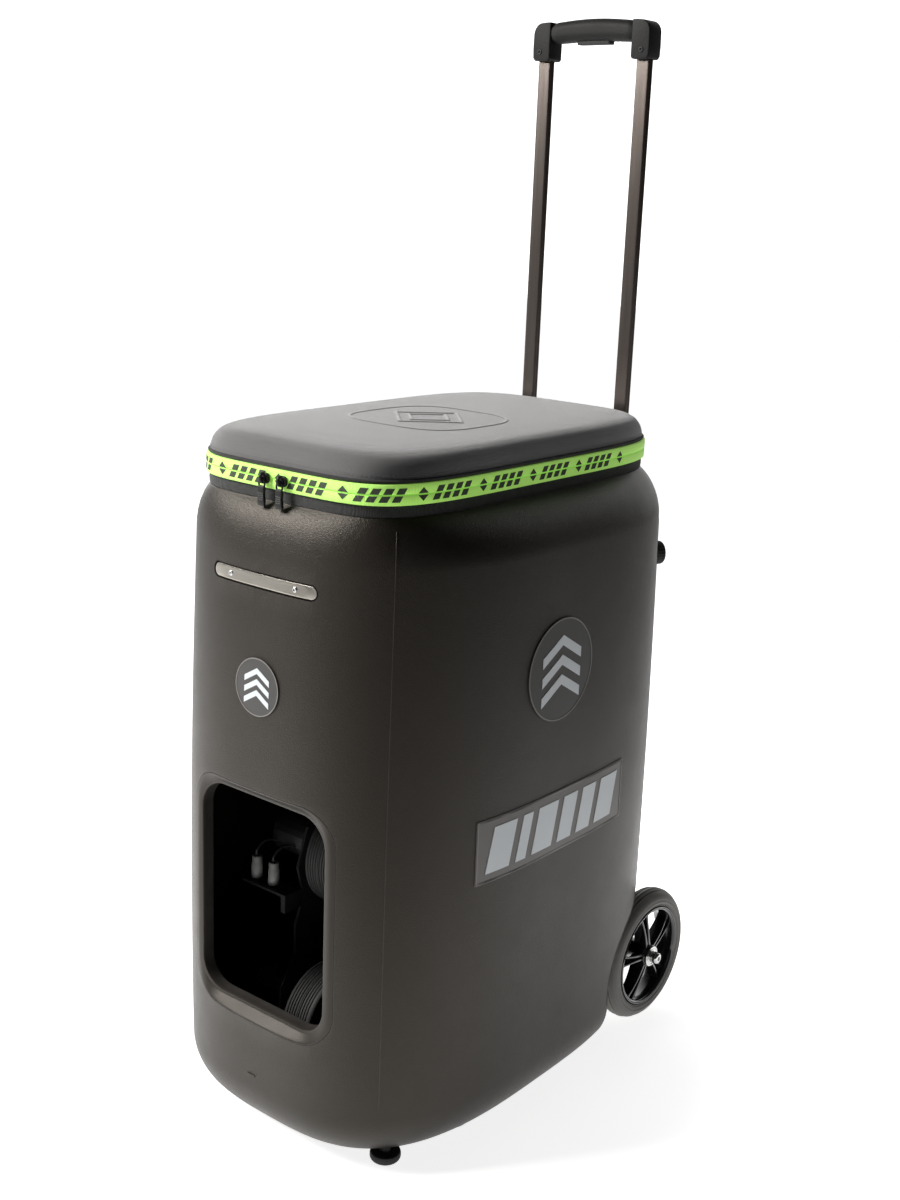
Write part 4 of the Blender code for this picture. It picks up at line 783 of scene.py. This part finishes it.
def tape_mark(poly_fn, za, zb, s0, s1):
    """A mark between left edge l(z) and right edge r(z)."""
    nv = 5
    rows = []
    for j in range(nv):
        z = za + (zb - za) * j / (nv - 1)
        l, r = poly_fn(z)
        nu = max(2, int((s1 - s0) / 0.0015))
        rows.append([on_tape(l + (r - l) * i / nu, z) for i in range(nu + 1)])
    verts, faces = [], []
    nu = len(rows[0])
    for row in rows:
        verts += list(row)
    for j in range(nv - 1):
        for i in range(nu - 1):
            faces.append((j * nu + i, j * nu + i + 1, (j + 1) * nu + i + 1, (j + 1) * nu + i))
    return verts, faces


def tape_print(name, za, zb, body, slot):
    V, F = [], []
    period = 0.0705
    zc = Z_SEAM
    for k in range(-7, 8):
        s0 = k * period + 0.004
        items = []
        h = 0.0058
        # lozenge, then a run of slanted bars
        items.append((s0 - 0.0060, s0 + 0.0060, lambda z, c=s0: (c - max(0.0, 0.0058 - abs(z - zc)), c + max(0.0, 0.0058 - abs(z - zc)))))
        x = s0 + 0.0125
        for w in (0.0072, 0.0072, 0.0072, 0.0072):
            items.append((x, x + w, lambda z, x=x, w=w: (x + (z - zc) * 0.55, x + w + (z - zc) * 0.55)))
            x += w + 0.0036
        for a, b, fn in items:
            if a < arc[0] + 0.02 or b > arc[-1] - 0.02:
                continue
            mid = on_tape((a + b) / 2, 0)
            if mid[1] > LID_Y and abs(mid[0]) < SKIRT_X + 0.010:
                continue
            lo_, hi_ = max(za, zc - h), min(zb, zc + h)
            v, f = tape_mark(fn, lo_, hi_, a, b)
            F += [tuple(i + len(V) for i in q) for q in f]
            V += v
    ob = make(name, V, F, M["print"])
    m = ob.modifiers.new("thick", "SOLIDIFY")
    m.thickness, m.offset = 0.00012, 1.0
    bake(ob)
    finish_mesh(ob, M["print"])
    return put(ob, body, slot)


tape_print("zip_print_lower", Z_STRIP0 + 0.0012, zb1 - 0.0005, "casing", "zip_tape")
tape_print("zip_print_upper", zt0 + 0.0005, Z_STRIP1 - 0.0012, "lid", "zip_tape")

# lid
LP = [(0.0, zt0), (0.0, 0.6385), (0.0012, 0.6475), (0.0042, 0.6545), (0.0094, 0.6594), (0.0190, 0.6621), (0.0450, 0.6636), (0.0950, Z_LID)]
fine = [np.array(p) for p in smooth_path(LP[1:], 72)]
fine = [np.array(LP[0])] + [np.array((0.0, z)) for z in (0.6310, 0.6330, 0.6350, 0.6370)] + fine


def lid_ring(i, z, off=0.0):
    return plan(WA - i - off, WB - i - off, LID_N - 2.2 * i / 0.095, LID_Y, z, 300)


lid_rings = [lid_ring(0.085, fine[-1][1] - 0.003, 0.004)]
for i, z in [tuple(p) for p in fine[::-3]][1:]:
    lid_rings.append(lid_ring(i, max(z - 0.003, zt0 + 0.0004) if z > 0.64 else z, 0.003))
lid_rings.append(lid_ring(0.0, zt0, 0.0030))
for i, z in fine:
    lid_rings.append(lid_ring(i, z))
lid = loft("lid_shell_cover", lid_rings, M["lid_fabric"], sharp=45)
put(lid, "lid", "lid_fabric", "lid_shell")
# rear skirt, below the seam: the fabric hinge
SW = 0.0388
zk0 = 0.6118
skirt = belt("lid_hinge_fabric", [(-0.003, zk0), (-0.0006, zk0), (0.0, zk0 + 0.0008), (0.0003, 0.6200), (0.0002, 0.6280), (0.0, 0.6310), (-0.003, 0.6310)],
             M["band_fabric"], "rear", SKIRT_X)
put(skirt, "lid", "lid_fabric")
# piping over the strip and a stitched row
put(belt("lid_piping", [(-0.0006, 0.6387), (0.0006, 0.6387), (0.0012, 0.6393), (0.0013, 0.6402), (0.0008, 0.6410), (-0.0003, 0.6414), (-0.0010, 0.6408)],
         M["band_fabric"], "all"), "lid", "lid_fabric")
ss = np.linspace(-0.62, 0.62, 310)
obs = []


def stitches(name, z, off, body, slot, material, step=0.0040, length=0.0026, smax=0.62):
    V, F = [], []
    n = int(2 * smax / step)
    for k in range(n):
        s = -smax + k * step
        a = np.interp([s, s + length / 2, s + length], arc, pf)
        pts = [plan(WA + off + (0.00015 if j == 1 else -0.0001), WB + off + (0.00015 if j == 1 else -0.0001), LID_N, LID_Y, z, p=np.array([q]))[0] for j, q in enumerate(a)]
        d = (pts[2] - pts[0])
        if np.linalg.norm(d) < 1e-6:
            continue
        d = d / np.linalg.norm(d)
        nrm = np.array([d[1], -d[0], 0])
        rr = 0.00028
        base = len(V)
        for p in pts:
            for t in range(6):
                an = 2 * math.pi * t / 6
                V.append(p + nrm * rr * math.cos(an) + np.array([0, 0, 1]) * rr * math.sin(an))
        for j in range(2):
            for t in range(6):
                u = (t + 1) % 6
                F.append((base + j * 6 + t, base + j * 6 + u, base + (j + 1) * 6 + u, base + (j + 1) * 6 + t))
        F.append(tuple(base + t for t in range(6)))
        F.append(tuple(base + 12 + t for t in range(6)))
    ob = make(name, V, F, material)
    return put(ob, body, slot)


stitches("band_stitches", 0.6186, 0.0002, "casing", "band_fabric", M["band_fabric"])
stitches("lid_stitches", 0.6440, -0.0006, "lid", "lid_fabric", M["lid_fabric"])


def lid_z(x, y):
    i = min(WA - abs(x), WB - abs(y - LID_Y))
    return float(np.interp(i, [p[0] for p in LP[1:]], [p[1] for p in LP[1:]]))


# embossed emblem on the lid: a soft-cornered outline and two nested diamonds
ec = (0.005, -0.033 + SH)


# the emblem lines take the lighter grey: a painted highlight on their raised tops
def lid_line(name, pts, r=0.0011, closed=True):
    path = [(x, y, lid_z(x, y) + 0.00015) for x, y in pts]
    return tube(name, path, r, M["lid_mark_painted_highlight"], n=12, closed=closed, squash=0.42, normal=lambda i: (0, 0, 1))


em = []
pts = []
for k in range(160):
    t = 2 * math.pi * k / 160
    c, v = math.cos(t), math.sin(t)
    q = (abs(c) ** 3.2 + abs(v) ** 3.2) ** (-1 / 3.2)
    pts.append((ec[0] + 0.0640 * q * c, ec[1] + 0.0640 * q * v))
em.append(lid_line("e", pts, 0.0015))
for w in (0.040, 0.024):
    em.append(lid_line("e", [tuple(p) for p in dense([(ec[0] - w, ec[1]), (ec[0], ec[1] + w), (ec[0] + w, ec[1]), (ec[0], ec[1] - w)], 0.003, True)], 0.0019))
put(joined("lid_emblem", em), "lid", "lid_fabric")

# zip sliders and pulls
SLY = LID_Y - LID_B - 0.0006
for s, side in ((-1, "left"), (1, "right")):
    cx = s * 0.0105
    yb = SLY
    outline = [tuple(p) for p in smooth_path([(cx - 0.0040, 0.6252), (cx - 0.0056, 0.6290), (cx - 0.0040, 0.6330), (cx, 0.6337), (cx + 0.0040, 0.6330), (cx + 0.0056, 0.6290),
                                              (cx + 0.0040, 0.6252), (cx, 0.6246), (cx - 0.0040, 0.6252)], 48)][:-1]
    sl_b = prism("s", outline, "y", yb - 0.0031, yb, M["black_plastic"], 0.0008, 3)
    bail = tube("b", smooth_path([(cx, yb - 0.0026, 0.6332), (cx, yb - 0.0052, 0.6330), (cx, yb - 0.0066, 0.6316), (cx, yb - 0.0067, 0.6288), (cx, yb - 0.0062, 0.6270), (cx, yb - 0.0046, 0.6258), (cx, yb - 0.0026, 0.6254)], 36),
                0.0011, M["black_plastic"], n=12, squash=1.5, normal=lambda i: (1, 0, 0))
    put(joined("zip_slider_body_" + side, [sl_b, bail]), "zip_slider_" + side, "black_plastic", "zip_slider_" + side)
    py, pz = yb - 0.0047, 0.6288
    loop = tube("l", [(cx + 0.0034 * math.cos(t) * (1 if True else 1), py, pz - 0.0042 + 0.0050 * math.sin(t)) for t in np.linspace(0, 2 * math.pi, 40, endpoint=False)],
                0.00085, M["black_plastic"], n=10, closed=True)
    prof = []
    for f, w, d in ((0.0, 0.0030, 0.0010), (0.06, 0.0038, 0.0014), (0.2, 0.0040, 0.0015), (0.45, 0.0036, 0.0014), (0.8, 0.0044, 0.0016), (0.93, 0.0043, 0.0015), (1.0, 0.0034, 0.0009)):
        z = 0.6228 - f * 0.0172
        prof.append([(cx + x, py + y, z) for x, y in rrect(w, d, d * 0.85, 5)])
    tab = loft("t", prof, M["black_plastic"], sharp=50)
    ridges = [tube("r", [(cx - 0.0030, py - 0.0013, z), (cx + 0.0030, py - 0.0013, z)], 0.0005, M["black_plastic"], n=8) for z in (0.6110, 0.6128, 0.6146, 0.6164)]
    put(joined("zip_pull_tab_" + side, [loop, tab] + ridges), "zip_pull_" + side, "black_plastic", "zip_pull_" + side)

# ------------------------------------------------------------------ handle
glo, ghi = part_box("handle_guide_left")
for s, side in ((-1, "left"), (1, "right")):
    x = s * POLE_X
    sec = rrect(POLE_W / 2, POLE_D / 2, 0.0016, 5)
    sec = [tuple(p) for p in dense(sec, 0.0014)]
    out = []
    for p, q in sec:
        if abs(p) > POLE_W / 2 - 0.0004 and abs(q) < 0.0016:
            p = math.copysign(abs(p) - 0.0009, p)
        out.append((x + p, POLE_Y + q))
    rings = [[(p[0], p[1], z) for p in out] for z in (0.5860, 0.60, 0.70, 0.80, 0.90, 1.0080)]
    put(loft("handle_pole_" + side, rings, M["pole_metal"], sharp=30), "handle", "pole_metal", "handle_tube_" + side)
    # the guide's collar on the shoulder
    lo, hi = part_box("handle_guide_" + side)
    c = ((lo.x + hi.x) / 2, (lo.y + hi.y) / 2)
    cr = []
    for hw, hd, z in ((0.0093, 0.0058, 0.6010), (0.0093, 0.0058, 0.6130), (0.0088, 0.0054, 0.6154), (0.0084, 0.0050, 0.6160), (0.0080, 0.0045, 0.6158), (0.0079, 0.0044, 0.6010)):
        cr.append([(c[0] + p, c[1] + q, z) for p, q in rrect(hw, hd, 0.0016, 5)])
    put(loft("handle_guide_collar_" + side, cr, M["black_plastic"], closed=True, sharp=40), "casing", "black_plastic")
    # bracket
    z0, z1 = 0.9965, 1.0325
    xi, xo = 0.0480, 0.0690
    pts = [(s * xi, z0 + 0.002), (s * (xi + 0.002), z0), (s * (xo - 0.0026), z0), (s * (xo - 0.0004), z0 + 0.0030), (s * xo, z0 + 0.0120), (s * (xo - 0.0003), z1 - 0.0115)]
    for k in range(1, 9):
        t = math.radians(90 * k / 8)
        pts.append((s * (xo - 0.0103 + 0.0100 * math.cos(t)), z1 - 0.0115 + 0.0115 * math.sin(t)))
    pts += [(s * (xi + 0.006), z1 + 0.0004), (s * xi, z1 + 0.0005)]
    if s < 0:
        pts = pts[::-1]
    br = prism("handle_bracket_" + side, pts, "y", POLE_Y - 0.0110, POLE_Y + 0.0110, M["grip"], 0.0028, 4, 40)
    cutb = prism("c", [(x + p, POLE_Y + q) for p, q in rrect(POLE_W / 2 + 0.0003, POLE_D / 2 + 0.0003, 0.0016, 4)], "z", 0.98, 1.0083)
    boolean(br, cutb)
    finish_mesh(br, M["grip"], 40)
    put(br, "handle", "black_plastic", "handle_end_" + side)
    put(screw("handle_screw_" + side, (s * 0.0600, POLE_Y - 0.01085, 1.0050), (0, -1, 0), 0.0027, 0.0010, M["dark_steel"]), "handle", "dark_steel")
    put(screw("handle_screw_rear_" + side, (s * 0.0600, POLE_Y + 0.01085, 1.0050), (0, 1, 0), 0.0027, 0.0010, M["dark_steel"]), "handle", "dark_steel")

bar = []
for i in range(41):
    f = i / 40
    x = -0.0476 + 0.0952 * f
    arch = 0.0030 * math.cos(math.pi / 2 * x / 0.0476)
    edge = min(f, 1 - f) * 40
    ease = (0.0011, 0.0004, 0.0)[min(2, int(edge))]
    rib = 0.00025 if (i % 2 and 8 < i < 32) else 0.0
    top, low = 1.0325 + arch - ease, 1.0130 + arch * 0.4 + ease + rib
    bar.append([(x, POLE_Y + p, (top + low) / 2 + q) for p, q in rrect(0.0110 - ease - 0.0006 * math.cos(math.pi / 2 * x / 0.0476), (top - low) / 2, 0.0078, 8)])
g = loft("handle_grip_bar", bar, M["grip"], sharp=50)
bl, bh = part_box("grip_button")
cb = prism("c", [((bl.x + bh.x) / 2 + p, (bl.y + bh.y) / 2 + q) for p, q in rrect((bh.x - bl.x) / 2 + 0.0005, (bh.y - bl.y) / 2 + 0.0005, 0.003, 5)], "z", 1.0000, 1.0214)
boolean(g, cb)
finish_mesh(g, M["grip"], 50)
put(g, "handle", "black_plastic", "handle_grip")
bt = prism("grip_release_button", [((bl.x + bh.x) / 2 + p, (bl.y + bh.y) / 2 + q) for p, q in rrect((bh.x - bl.x) / 2 - 0.0001, (bh.y - bl.y) / 2 - 0.0001, 0.0028, 6)], "z",
           bl.z + 0.0002, bh.z - 0.0002, M["rubber"], 0.0009, 3)
put(bt, "grip_button", "rubber", "grip_button")

# ------------------------------------------------------------------ road wheels
WX, WH = 0.1345, 0.0140
for s, side in ((-1, "left"), (1, "right")):
    at, ax = (s * WX, WHEEL_Y, WHEEL_R), (s, 0, 0)
    prof = [(0.0553, WH - 0.0030), (0.0556, WH - 0.0016), (0.0562, WH - 0.0012), (0.0568, WH - 0.0016), (0.0576, WH - 0.0008), (0.0592, WH - 0.0003), (0.0604, WH - 0.0002),
            (0.0611, WH - 0.0007), (0.0618, WH - 0.0002), (0.0632, WH - 0.0003), (0.0650, WH - 0.0009), (0.0668, WH - 0.0020), (0.0683, WH - 0.0035), (0.0695, WH - 0.0052), (0.0703, WH - 0.0066)]
    for x in (0.0062, 0.0018, -0.0026, -0.0070):
        crown = 0.0725 - 0.0022 * (x / 0.0074) ** 2
        prof += [(crown, x + 0.0006), (crown - 0.0002, x + 0.0003), (crown - 0.0012, x), (crown - 0.0012, x - 0.0008), (crown - 0.0002, x - 0.0011)]
    prof += [(0.0695, -(WH - 0.0052)), (0.0683, -(WH - 0.0035)), (0.0668, -(WH - 0.0020)), (0.0650, -(WH - 0.0009)), (0.0632, -(WH - 0.0003)), (0.0590, -(WH - 0.0004)),
             (0.0562, -(WH - 0.0012)), (0.0553, -(WH - 0.0030))]
    put(turned("wheel_tyre_body_" + side, prof, at, ax, M["tyre"], 192, closed=True, sharp=38), "wheel_" + side, "tyre", "wheel_tyre_" + side)
    ring = [(0.0549, WH - 0.0018), (0.0549, -(WH - 0.0018)), (0.0540, -(WH - 0.0008)), (0.0522, -(WH - 0.0010)), (0.0508, -(WH - 0.0030)), (0.0494, -0.0060), (0.0490, 0.0000),
            (0.0493, 0.0050), (0.0503, WH - 0.0040), (0.0508, WH - 0.0022), (0.0518, WH - 0.0012), (0.0526, WH - 0.0010), (0.0530, WH - 0.0016), (0.0534, WH - 0.0008), (0.0542, WH - 0.0006)]
    rim = [turned("r", ring, at, ax, M["rim"], 144, closed=True, sharp=40)]
    hub = [(0.0054, WH), (0.0104, WH), (0.0114, WH - 0.0004), (0.0121, WH - 0.0018), (0.0126, WH - 0.0060), (0.0130, 0.0), (0.0126, -0.0100), (0.0118, -0.0138), (0.0054, -0.0138)]
    rim.append(turned("h", hub, at, ax, M["rim"], 72, closed=True, sharp=40))
    for k in range(5):
        t = math.radians(27 + 72 * k)
        rd = Vector((0, math.cos(t), math.sin(t)))
        tg = Vector((0, -math.sin(t), math.cos(t)))
        for q in (-1, 1):
            secs = []
            for f in np.linspace(0, 1, 17):
                r = 0.0108 + (0.0502 - 0.0108) * f
                off = q * (0.0024 + 0.0008 * f + 0.0030 * f ** 2.4)
                wdt = 0.0011 + 0.0005 * (1 - f) ** 3 + 0.0016 * f ** 7
                front = 0.0122 - 0.0052 * f ** 0.8 + 0.0012 * math.sin(math.pi * f)
                back = -0.0046 + 0.0008 * math.sin(math.pi * f)
                c = Vector(at) + rd * r + tg * off
                sec = []
                for p, h in rrect(wdt, (front - back) / 2, 0.0009, 4):
                    sec.append(c + tg * p + Vector(ax) * (h + (front + back) / 2))
                secs.append(sec)
            rim.append(loft("k", secs, M["rim"], sharp=50))
        secs = []
        for f in np.linspace(0, 1, 13):
            r = 0.0112 + (0.0500 - 0.0112) * f
            w = 0.0024 + 0.0008 * f + 0.0030 * f ** 2.4
            front = 0.0080 - 0.0062 * f ** 0.6
            c = Vector(at) + rd * r
            secs.append([c + tg * p + Vector(ax) * (h + (front - 0.0040) / 2) for p, h in rrect(w, (front + 0.0040) / 2, 0.0006, 2)])
        rim.append(loft("w", secs, M["rim"], sharp=50))
    put(joined("wheel_rim_body_" + side, rim), "wheel_" + side, "rim", "wheel_rim_" + side)
    x0 = s * (WX + WH + 0.0006)
    put(turned("axle_cap_dome_" + side, [(0.0054, 0), (0.0108, 0), (0.0112, 0.0003), (0.0112, 0.0010), (0.0108, 0.0014), (0.0094, 0.0014), (0.0090, 0.0009), (0.0082, 0.0009), (0.0078, 0.0014),
                                         (0.0066, 0.0016), (0.0060, 0.0020), (0.0058, 0.0030), (0.0062, 0.0036), (0.0062, 0.0078), (0.0058, 0.0090), (0.0048, 0.0099), (0.0034, 0.0102),
                                         (0.0024, 0.0102), (0.0021, 0.0096), (0.0020, 0.0084), (0, 0.0080), (0, 0.0060), (0.0054, 0.0058)],
               (x0, WHEEL_Y, WHEEL_R), ax, M["chrome"], 72, closed=False), "casing", "chrome", "axle_cap_" + side)

# ------------------------------------------------------------------ feet, skid plate
for side in ("left", "right"):
    lo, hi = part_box("foot_" + side)
    c = ((lo.x + hi.x) / 2, (lo.y + hi.y) / 2, 0)
    prof = [(0, 0.0)] + [(0.0145 * math.sin(math.radians(a)) ** 0.8, 0.0062 * (1 - math.cos(math.radians(a)))) for a in range(10, 91, 10)] + \
           [(0.0145, 0.0088), (0.0140, 0.0104), (0.0128, 0.0112), (0.0060, 0.0113), (0.0050, 0.0120), (0.0050, 0.0262), (0, 0.0270)]
    put(turned("foot_dome_" + side, prof, c, (0, 0, 1), M["rubber"], 64), "casing", "rubber", "foot_" + side)
lo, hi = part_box("skid_plate")
cx, cy = (lo.x + hi.x) / 2, (lo.y + hi.y) / 2
sk = prism("skid_plate_pan", [(cx + p, cy + q) for p, q in rrect((hi.x - lo.x) / 2, (hi.y - lo.y) / 2, 0.030, 12)], "z", lo.z, hi.z, M["dark_steel"], 0.0016, 4)
put(sk, "casing", "dark_steel", "skid_plate")
put(joined("skid_plate_screws", [screw("s", (cx + p, cy + q, lo.z + 0.0001), (0, 0, -1), 0.0042, 0.0016, M["steel"]) for p in (-0.115, 0, 0.115) for q in (-0.112, 0.112)]), "casing", "steel")

# ------------------------------------------------------------------ rear: knob, panel
pr = [(0, 0.0180), (0.0092, 0.0180), (0.0106, 0.0176), (0.0116, 0.0168), (0.0120, 0.0155), (0.0125, 0.0060), (0.0125, 0.0040), (0.0118, 0.0031), (0.0030, 0.0030), (0.0030, -0.0050), (0, -0.0050)]
put(turned("feed_rate_knob", pr, KP, KN, M["rubber"], 96, wobble=lambda k, i: 1.0 - (0.035 if (k % 4 < 2 and 3 <= i <= 7) else 0.0)), "knob", "rubber", "control_knob")
side_v = Vector((0, 0, 1)).cross(KN).normalized()
put(tube("feed_rate_pointer", [KP + KN * 0.0180 + Vector((0, 0, 0.0030)), KP + KN * 0.0180 + Vector((0, 0, 0.0095))], 0.0006, M["mark"], n=10), "knob", "rubber")
plo, phi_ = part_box("control_panel")
obs = []
for x in (plo.x + 0.006, phi_.x - 0.006):
    for z in (plo.z + 0.006, phi_.z - 0.006):
        obs.append(screw("p", (x, phi_.y - 0.0001, z), (0, 1, 0), 0.0026, 0.0012, M["steel"]))
put(joined("panel_screws", obs), "casing", "steel")
fr = []
for hw, hh, y in ((0.0380, 0.0180, phi_.y), (0.0372, 0.0172, phi_.y + 0.0012), (0.0350, 0.0150, phi_.y + 0.0012), (0.0342, 0.0142, phi_.y)):
    fr.append([((plo.x + phi_.x) / 2 + p, y, 0.4850 + q) for p, q in rrect(hw, hh, 0.004, 6)])
put(loft("panel_vent_frame", fr, M["inner_plastic"], closed=True), "casing", "inner_plastic")
put(joined("panel_vents", [tube("v", [((plo.x + phi_.x) / 2 - 0.030, phi_.y + 0.0002, z), ((plo.x + phi_.x) / 2 + 0.030, phi_.y + 0.0002, z)], 0.0011, M["black_plastic"], n=12)
                           for z in np.arange(0.4745, 0.497, 0.0042)]), "casing", "inner_plastic")
put(turned("panel_lamp", [(0, 0.0022), (0.0016, 0.0019), (0.0024, 0.0008), (0.0026, 0.0), (0, 0)], (0.0, phi_.y, 0.5300), (0, 1, 0), M["lamp"], 32), "casing", "inner_plastic")

# ------------------------------------------------------------------ launcher, seen through the window
for name in ("upper", "lower"):
    lo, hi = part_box("throw_wheel_" + name)
    c = (lo + hi) / 2
    w = (hi.x - lo.x) / 2
    prof = [(0.0345, w - 0.001), (0.0365, w), (0.0440, w), (0.0480, w - 0.0004), (0.0494, w - 0.0016), (0.0500, w - 0.0036)]
    xs = np.linspace(w - 0.0045, 0.0005, 5)
    for x in xs:
        prof += [(0.0500, x), (0.0490, x - 0.0008), (0.0490, x - 0.0016), (0.0500, x - 0.0024)]
    prof = prof + [(r, -h) for r, h in prof[::-1] if abs(h) > 1e-6]
    prof = [p for i, p in enumerate(prof) if i == 0 or p[1] < prof[i - 1][1] + 1e-9]
    put(turned("throw_wheel_tyre_" + name, prof, c, (1, 0, 0), M["throw_foam"], 120, closed=True, sharp=40), "throw_" + name, "throw_foam", "throw_wheel_" + name)
cl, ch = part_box("cheek_left")
obs = []
for dy, z in ((-0.150, 0.210), (-0.150, 0.190), (-0.150, 0.170), (-0.135, 0.262), (-0.080, 0.250), (-0.020, 0.230)):
    obs.append(screw("b", (-0.0402, dy + SH + 0.010, z), (-1, 0, 0), 0.0032, 0.0022, M["steel"]))
put(joined("cheek_bolts_left", obs), "launcher", "steel")
obs = [screw("b", (0.0402, dy + SH, z), (1, 0, 0), 0.0032, 0.0022, M["steel"]) for dy, z in ((-0.140, 0.200), (-0.135, 0.262), (-0.080, 0.250), (-0.020, 0.230))]
put(joined("cheek_bolts_right", obs), "launcher", "steel")
for k in "ab":
    lo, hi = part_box("motor_connector_" + k)
    c = ((lo.x + hi.x) / 2, (lo.y + hi.y) / 2, lo.z)
    h = hi.z - lo.z
    put(turned("motor_connector_body_" + k, [(0, 0), (0.0054, 0), (0.0056, 0.0004), (0.0056, 0.0150), (0.0052, 0.0156), (0.0050, 0.0162), (0.0050, h - 0.0012), (0.0044, h - 0.0003), (0.0036, h - 0.0003),
                                             (0.0034, h - 0.0012), (0, h - 0.0012)], c, (0, 0, 1), M["connector"], 56), "launcher", "connector", "motor_connector_" + k)
    put(tube("motor_lead_" + k, smooth_path([(c[0], c[1], hi.z - 0.0014), (c[0], c[1], hi.z + 0.006), (c[0] + 0.002, c[1] + 0.010, hi.z + 0.013), (c[0] + 0.006, c[1] + 0.024, hi.z + 0.010),
                                             (c[0] + 0.008, c[1] + 0.034, hi.z + 0.006)], 32), 0.0014, M["wire"], n=10), "launcher", "connector")

# ------------------------------------------------------------------ floor, light, camera
FLOOR_FAR, FLOOR_NEAR, WORLD_DARK = 0.80, 0.55, 0.030
fl = make("floor", [(-9, -9, 0), (9, -9, 0), (9, 9, 0), (-9, 9, 0)], [(0, 1, 2, 3)], None)
fm = mat("floor_paint", (0.80, 0.80, 0.80), 0.8, bumps=(("noise", 40, 0.0001),), var=0.01, spec=0.1)
ft = fm.node_tree
fb_ = ft.nodes["Principled BSDF"]
fb_.inputs["Emission Color"].default_value = (1, 1, 1, 1)


def toward(tree, vec_socket, direction, lo_in, hi_in, lo_out, hi_out):
    """A value that runs from lo_out to hi_out with how far vec lies along direction."""
    d = tree.nodes.new("ShaderNodeVectorMath")
    d.operation = "DOT_PRODUCT"
    tree.links.new(vec_socket, d.inputs[0])
    d.inputs[1].default_value = direction
    r = tree.nodes.new("ShaderNodeMapRange")
    r.interpolation_type = "SMOOTHSTEP"
    for key, v in (("From Min", lo_in), ("From Max", hi_in), ("To Min", lo_out), ("To Max", hi_out)):
        r.inputs[key].default_value = v
    tree.links.new(d.outputs["Value"], r.inputs["Value"])
    return r.outputs["Result"]


at_ = ft.nodes.new("ShaderNodeTexCoord").outputs["Object"]


def arith(tree, op, a, b):
    n = tree.nodes.new("ShaderNodeMath")
    n.operation = op
    for sock, v in ((n.inputs[0], a), (n.inputs[1], b)):
        if isinstance(v, float):
            sock.default_value = v
        else:
            tree.links.new(v, sock)
    return n.outputs[0]


# the floor is a lit table: brightest round the part, plain behind it, unlit in front and to the right; its glow is cut
# to about half right next to the part, a painted contact shadow
behind = toward(ft, at_, (-0.6245, 0.781, 0), -0.60, -0.32, 0.10, FLOOR_FAR)
rightwards = toward(ft, at_, (0.9256, 0.3785, 0), 0.62, 1.0, 1.0, 0.10)
ln = ft.nodes.new("ShaderNodeVectorMath")
ln.operation = "LENGTH"
ft.links.new(at_, ln.inputs[0])
near = ft.nodes.new("ShaderNodeMapRange")
near.interpolation_type = "SMOOTHSTEP"
for key, v in (("From Min", 0.60), ("From Max", 1.0), ("To Min", FLOOR_NEAR * 1.3), ("To Max", 0.0)):
    near.inputs[key].default_value = v
ft.links.new(ln.outputs["Value"], near.inputs["Value"])
# painted contact shadow: the floor's glow drops to 0.55 inside about 0.26 of the part's middle
painted_contact_shadow = ft.nodes.new("ShaderNodeMapRange")
painted_contact_shadow.interpolation_type = "SMOOTHSTEP"
for key, v in (("From Min", 0.26), ("From Max", 0.50), ("To Min", 0.55), ("To Max", 1.0)):
    painted_contact_shadow.inputs[key].default_value = v
ft.links.new(ln.outputs["Value"], painted_contact_shadow.inputs["Value"])
glow = arith(ft, "ADD", arith(ft, "MULTIPLY", behind, rightwards), near.outputs["Result"])
ft.links.new(arith(ft, "MULTIPLY", glow, painted_contact_shadow.outputs["Result"]), fb_.inputs["Emission Strength"])
fl.data.materials.append(fm)
fl.location.z = -0.0004

world = bpy.data.worlds.new("studio")
bpy.context.scene.world = world
world.use_nodes = True
wt = world.node_tree
bg = wt.nodes["Background"]
bg.inputs["Color"].default_value = (1, 1, 1, 1)
wt.links.new(toward(wt, wt.nodes.new("ShaderNodeTexCoord").outputs["Generated"], (-0.62, 0.78, 0.10), 0.38, 0.97, WORLD_DARK, 1.6), bg.inputs["Strength"])


def area(name, at, to, size, power, size_y=None, color=(1, 1, 1)):
    d = bpy.data.lights.new(name, "AREA")
    d.shape = "RECTANGLE"
    d.size, d.size_y, d.energy, d.color = size, size_y or size, power, color
    ob = bpy.data.objects.new(name, d)
    bpy.context.scene.collection.objects.link(ob)
    ob.location = at
    ob.rotation_euler = (Vector(to) - Vector(at)).to_track_quat("-Z", "Y").to_euler()
    return ob


area("key", (-1.32, -1.48, 1.85), (0, 0, 0.60), 1.0, 105, 1.0, (1.0, 0.985, 0.965))
area("rim_left", (-1.75, 0.72, 1.10), (0, 0, 0.62), 0.9, 10, 0.9, (1.0, 0.985, 0.97)).visible_camera = False

cam = bpy.data.cameras.new("camera")
co = bpy.data.objects.new("camera", cam)
bpy.context.scene.collection.objects.link(co)
bpy.context.scene.camera = co
cam.sensor_fit = "VERTICAL"
cam.sensor_height = 36.0
cam.sensor_width = 27.0
cam.lens = 1525.06 / 1200 * 36
az, el, roll, dist = math.radians(38.6449), math.radians(15.2796), math.radians(2.2789), 1.4867
back = Vector((math.sin(az) * math.cos(el), -math.cos(az) * math.cos(el), math.sin(el)))
right = Vector((0, 0, 1)).cross(back).normalized()
up = back.cross(right)
r2, u2 = right * math.cos(roll) + up * math.sin(roll), up * math.cos(roll) - right * math.sin(roll)
target = Vector((0.008, 0.0064 + SH, 0.4824))
m = Matrix((r2, u2, back)).transposed().to_4x4()
m.translation = target + back * dist
co.matrix_world = m
cam.clip_start, cam.clip_end = 0.05, 40

bpy.context.scene.view_settings.view_transform = "Standard"
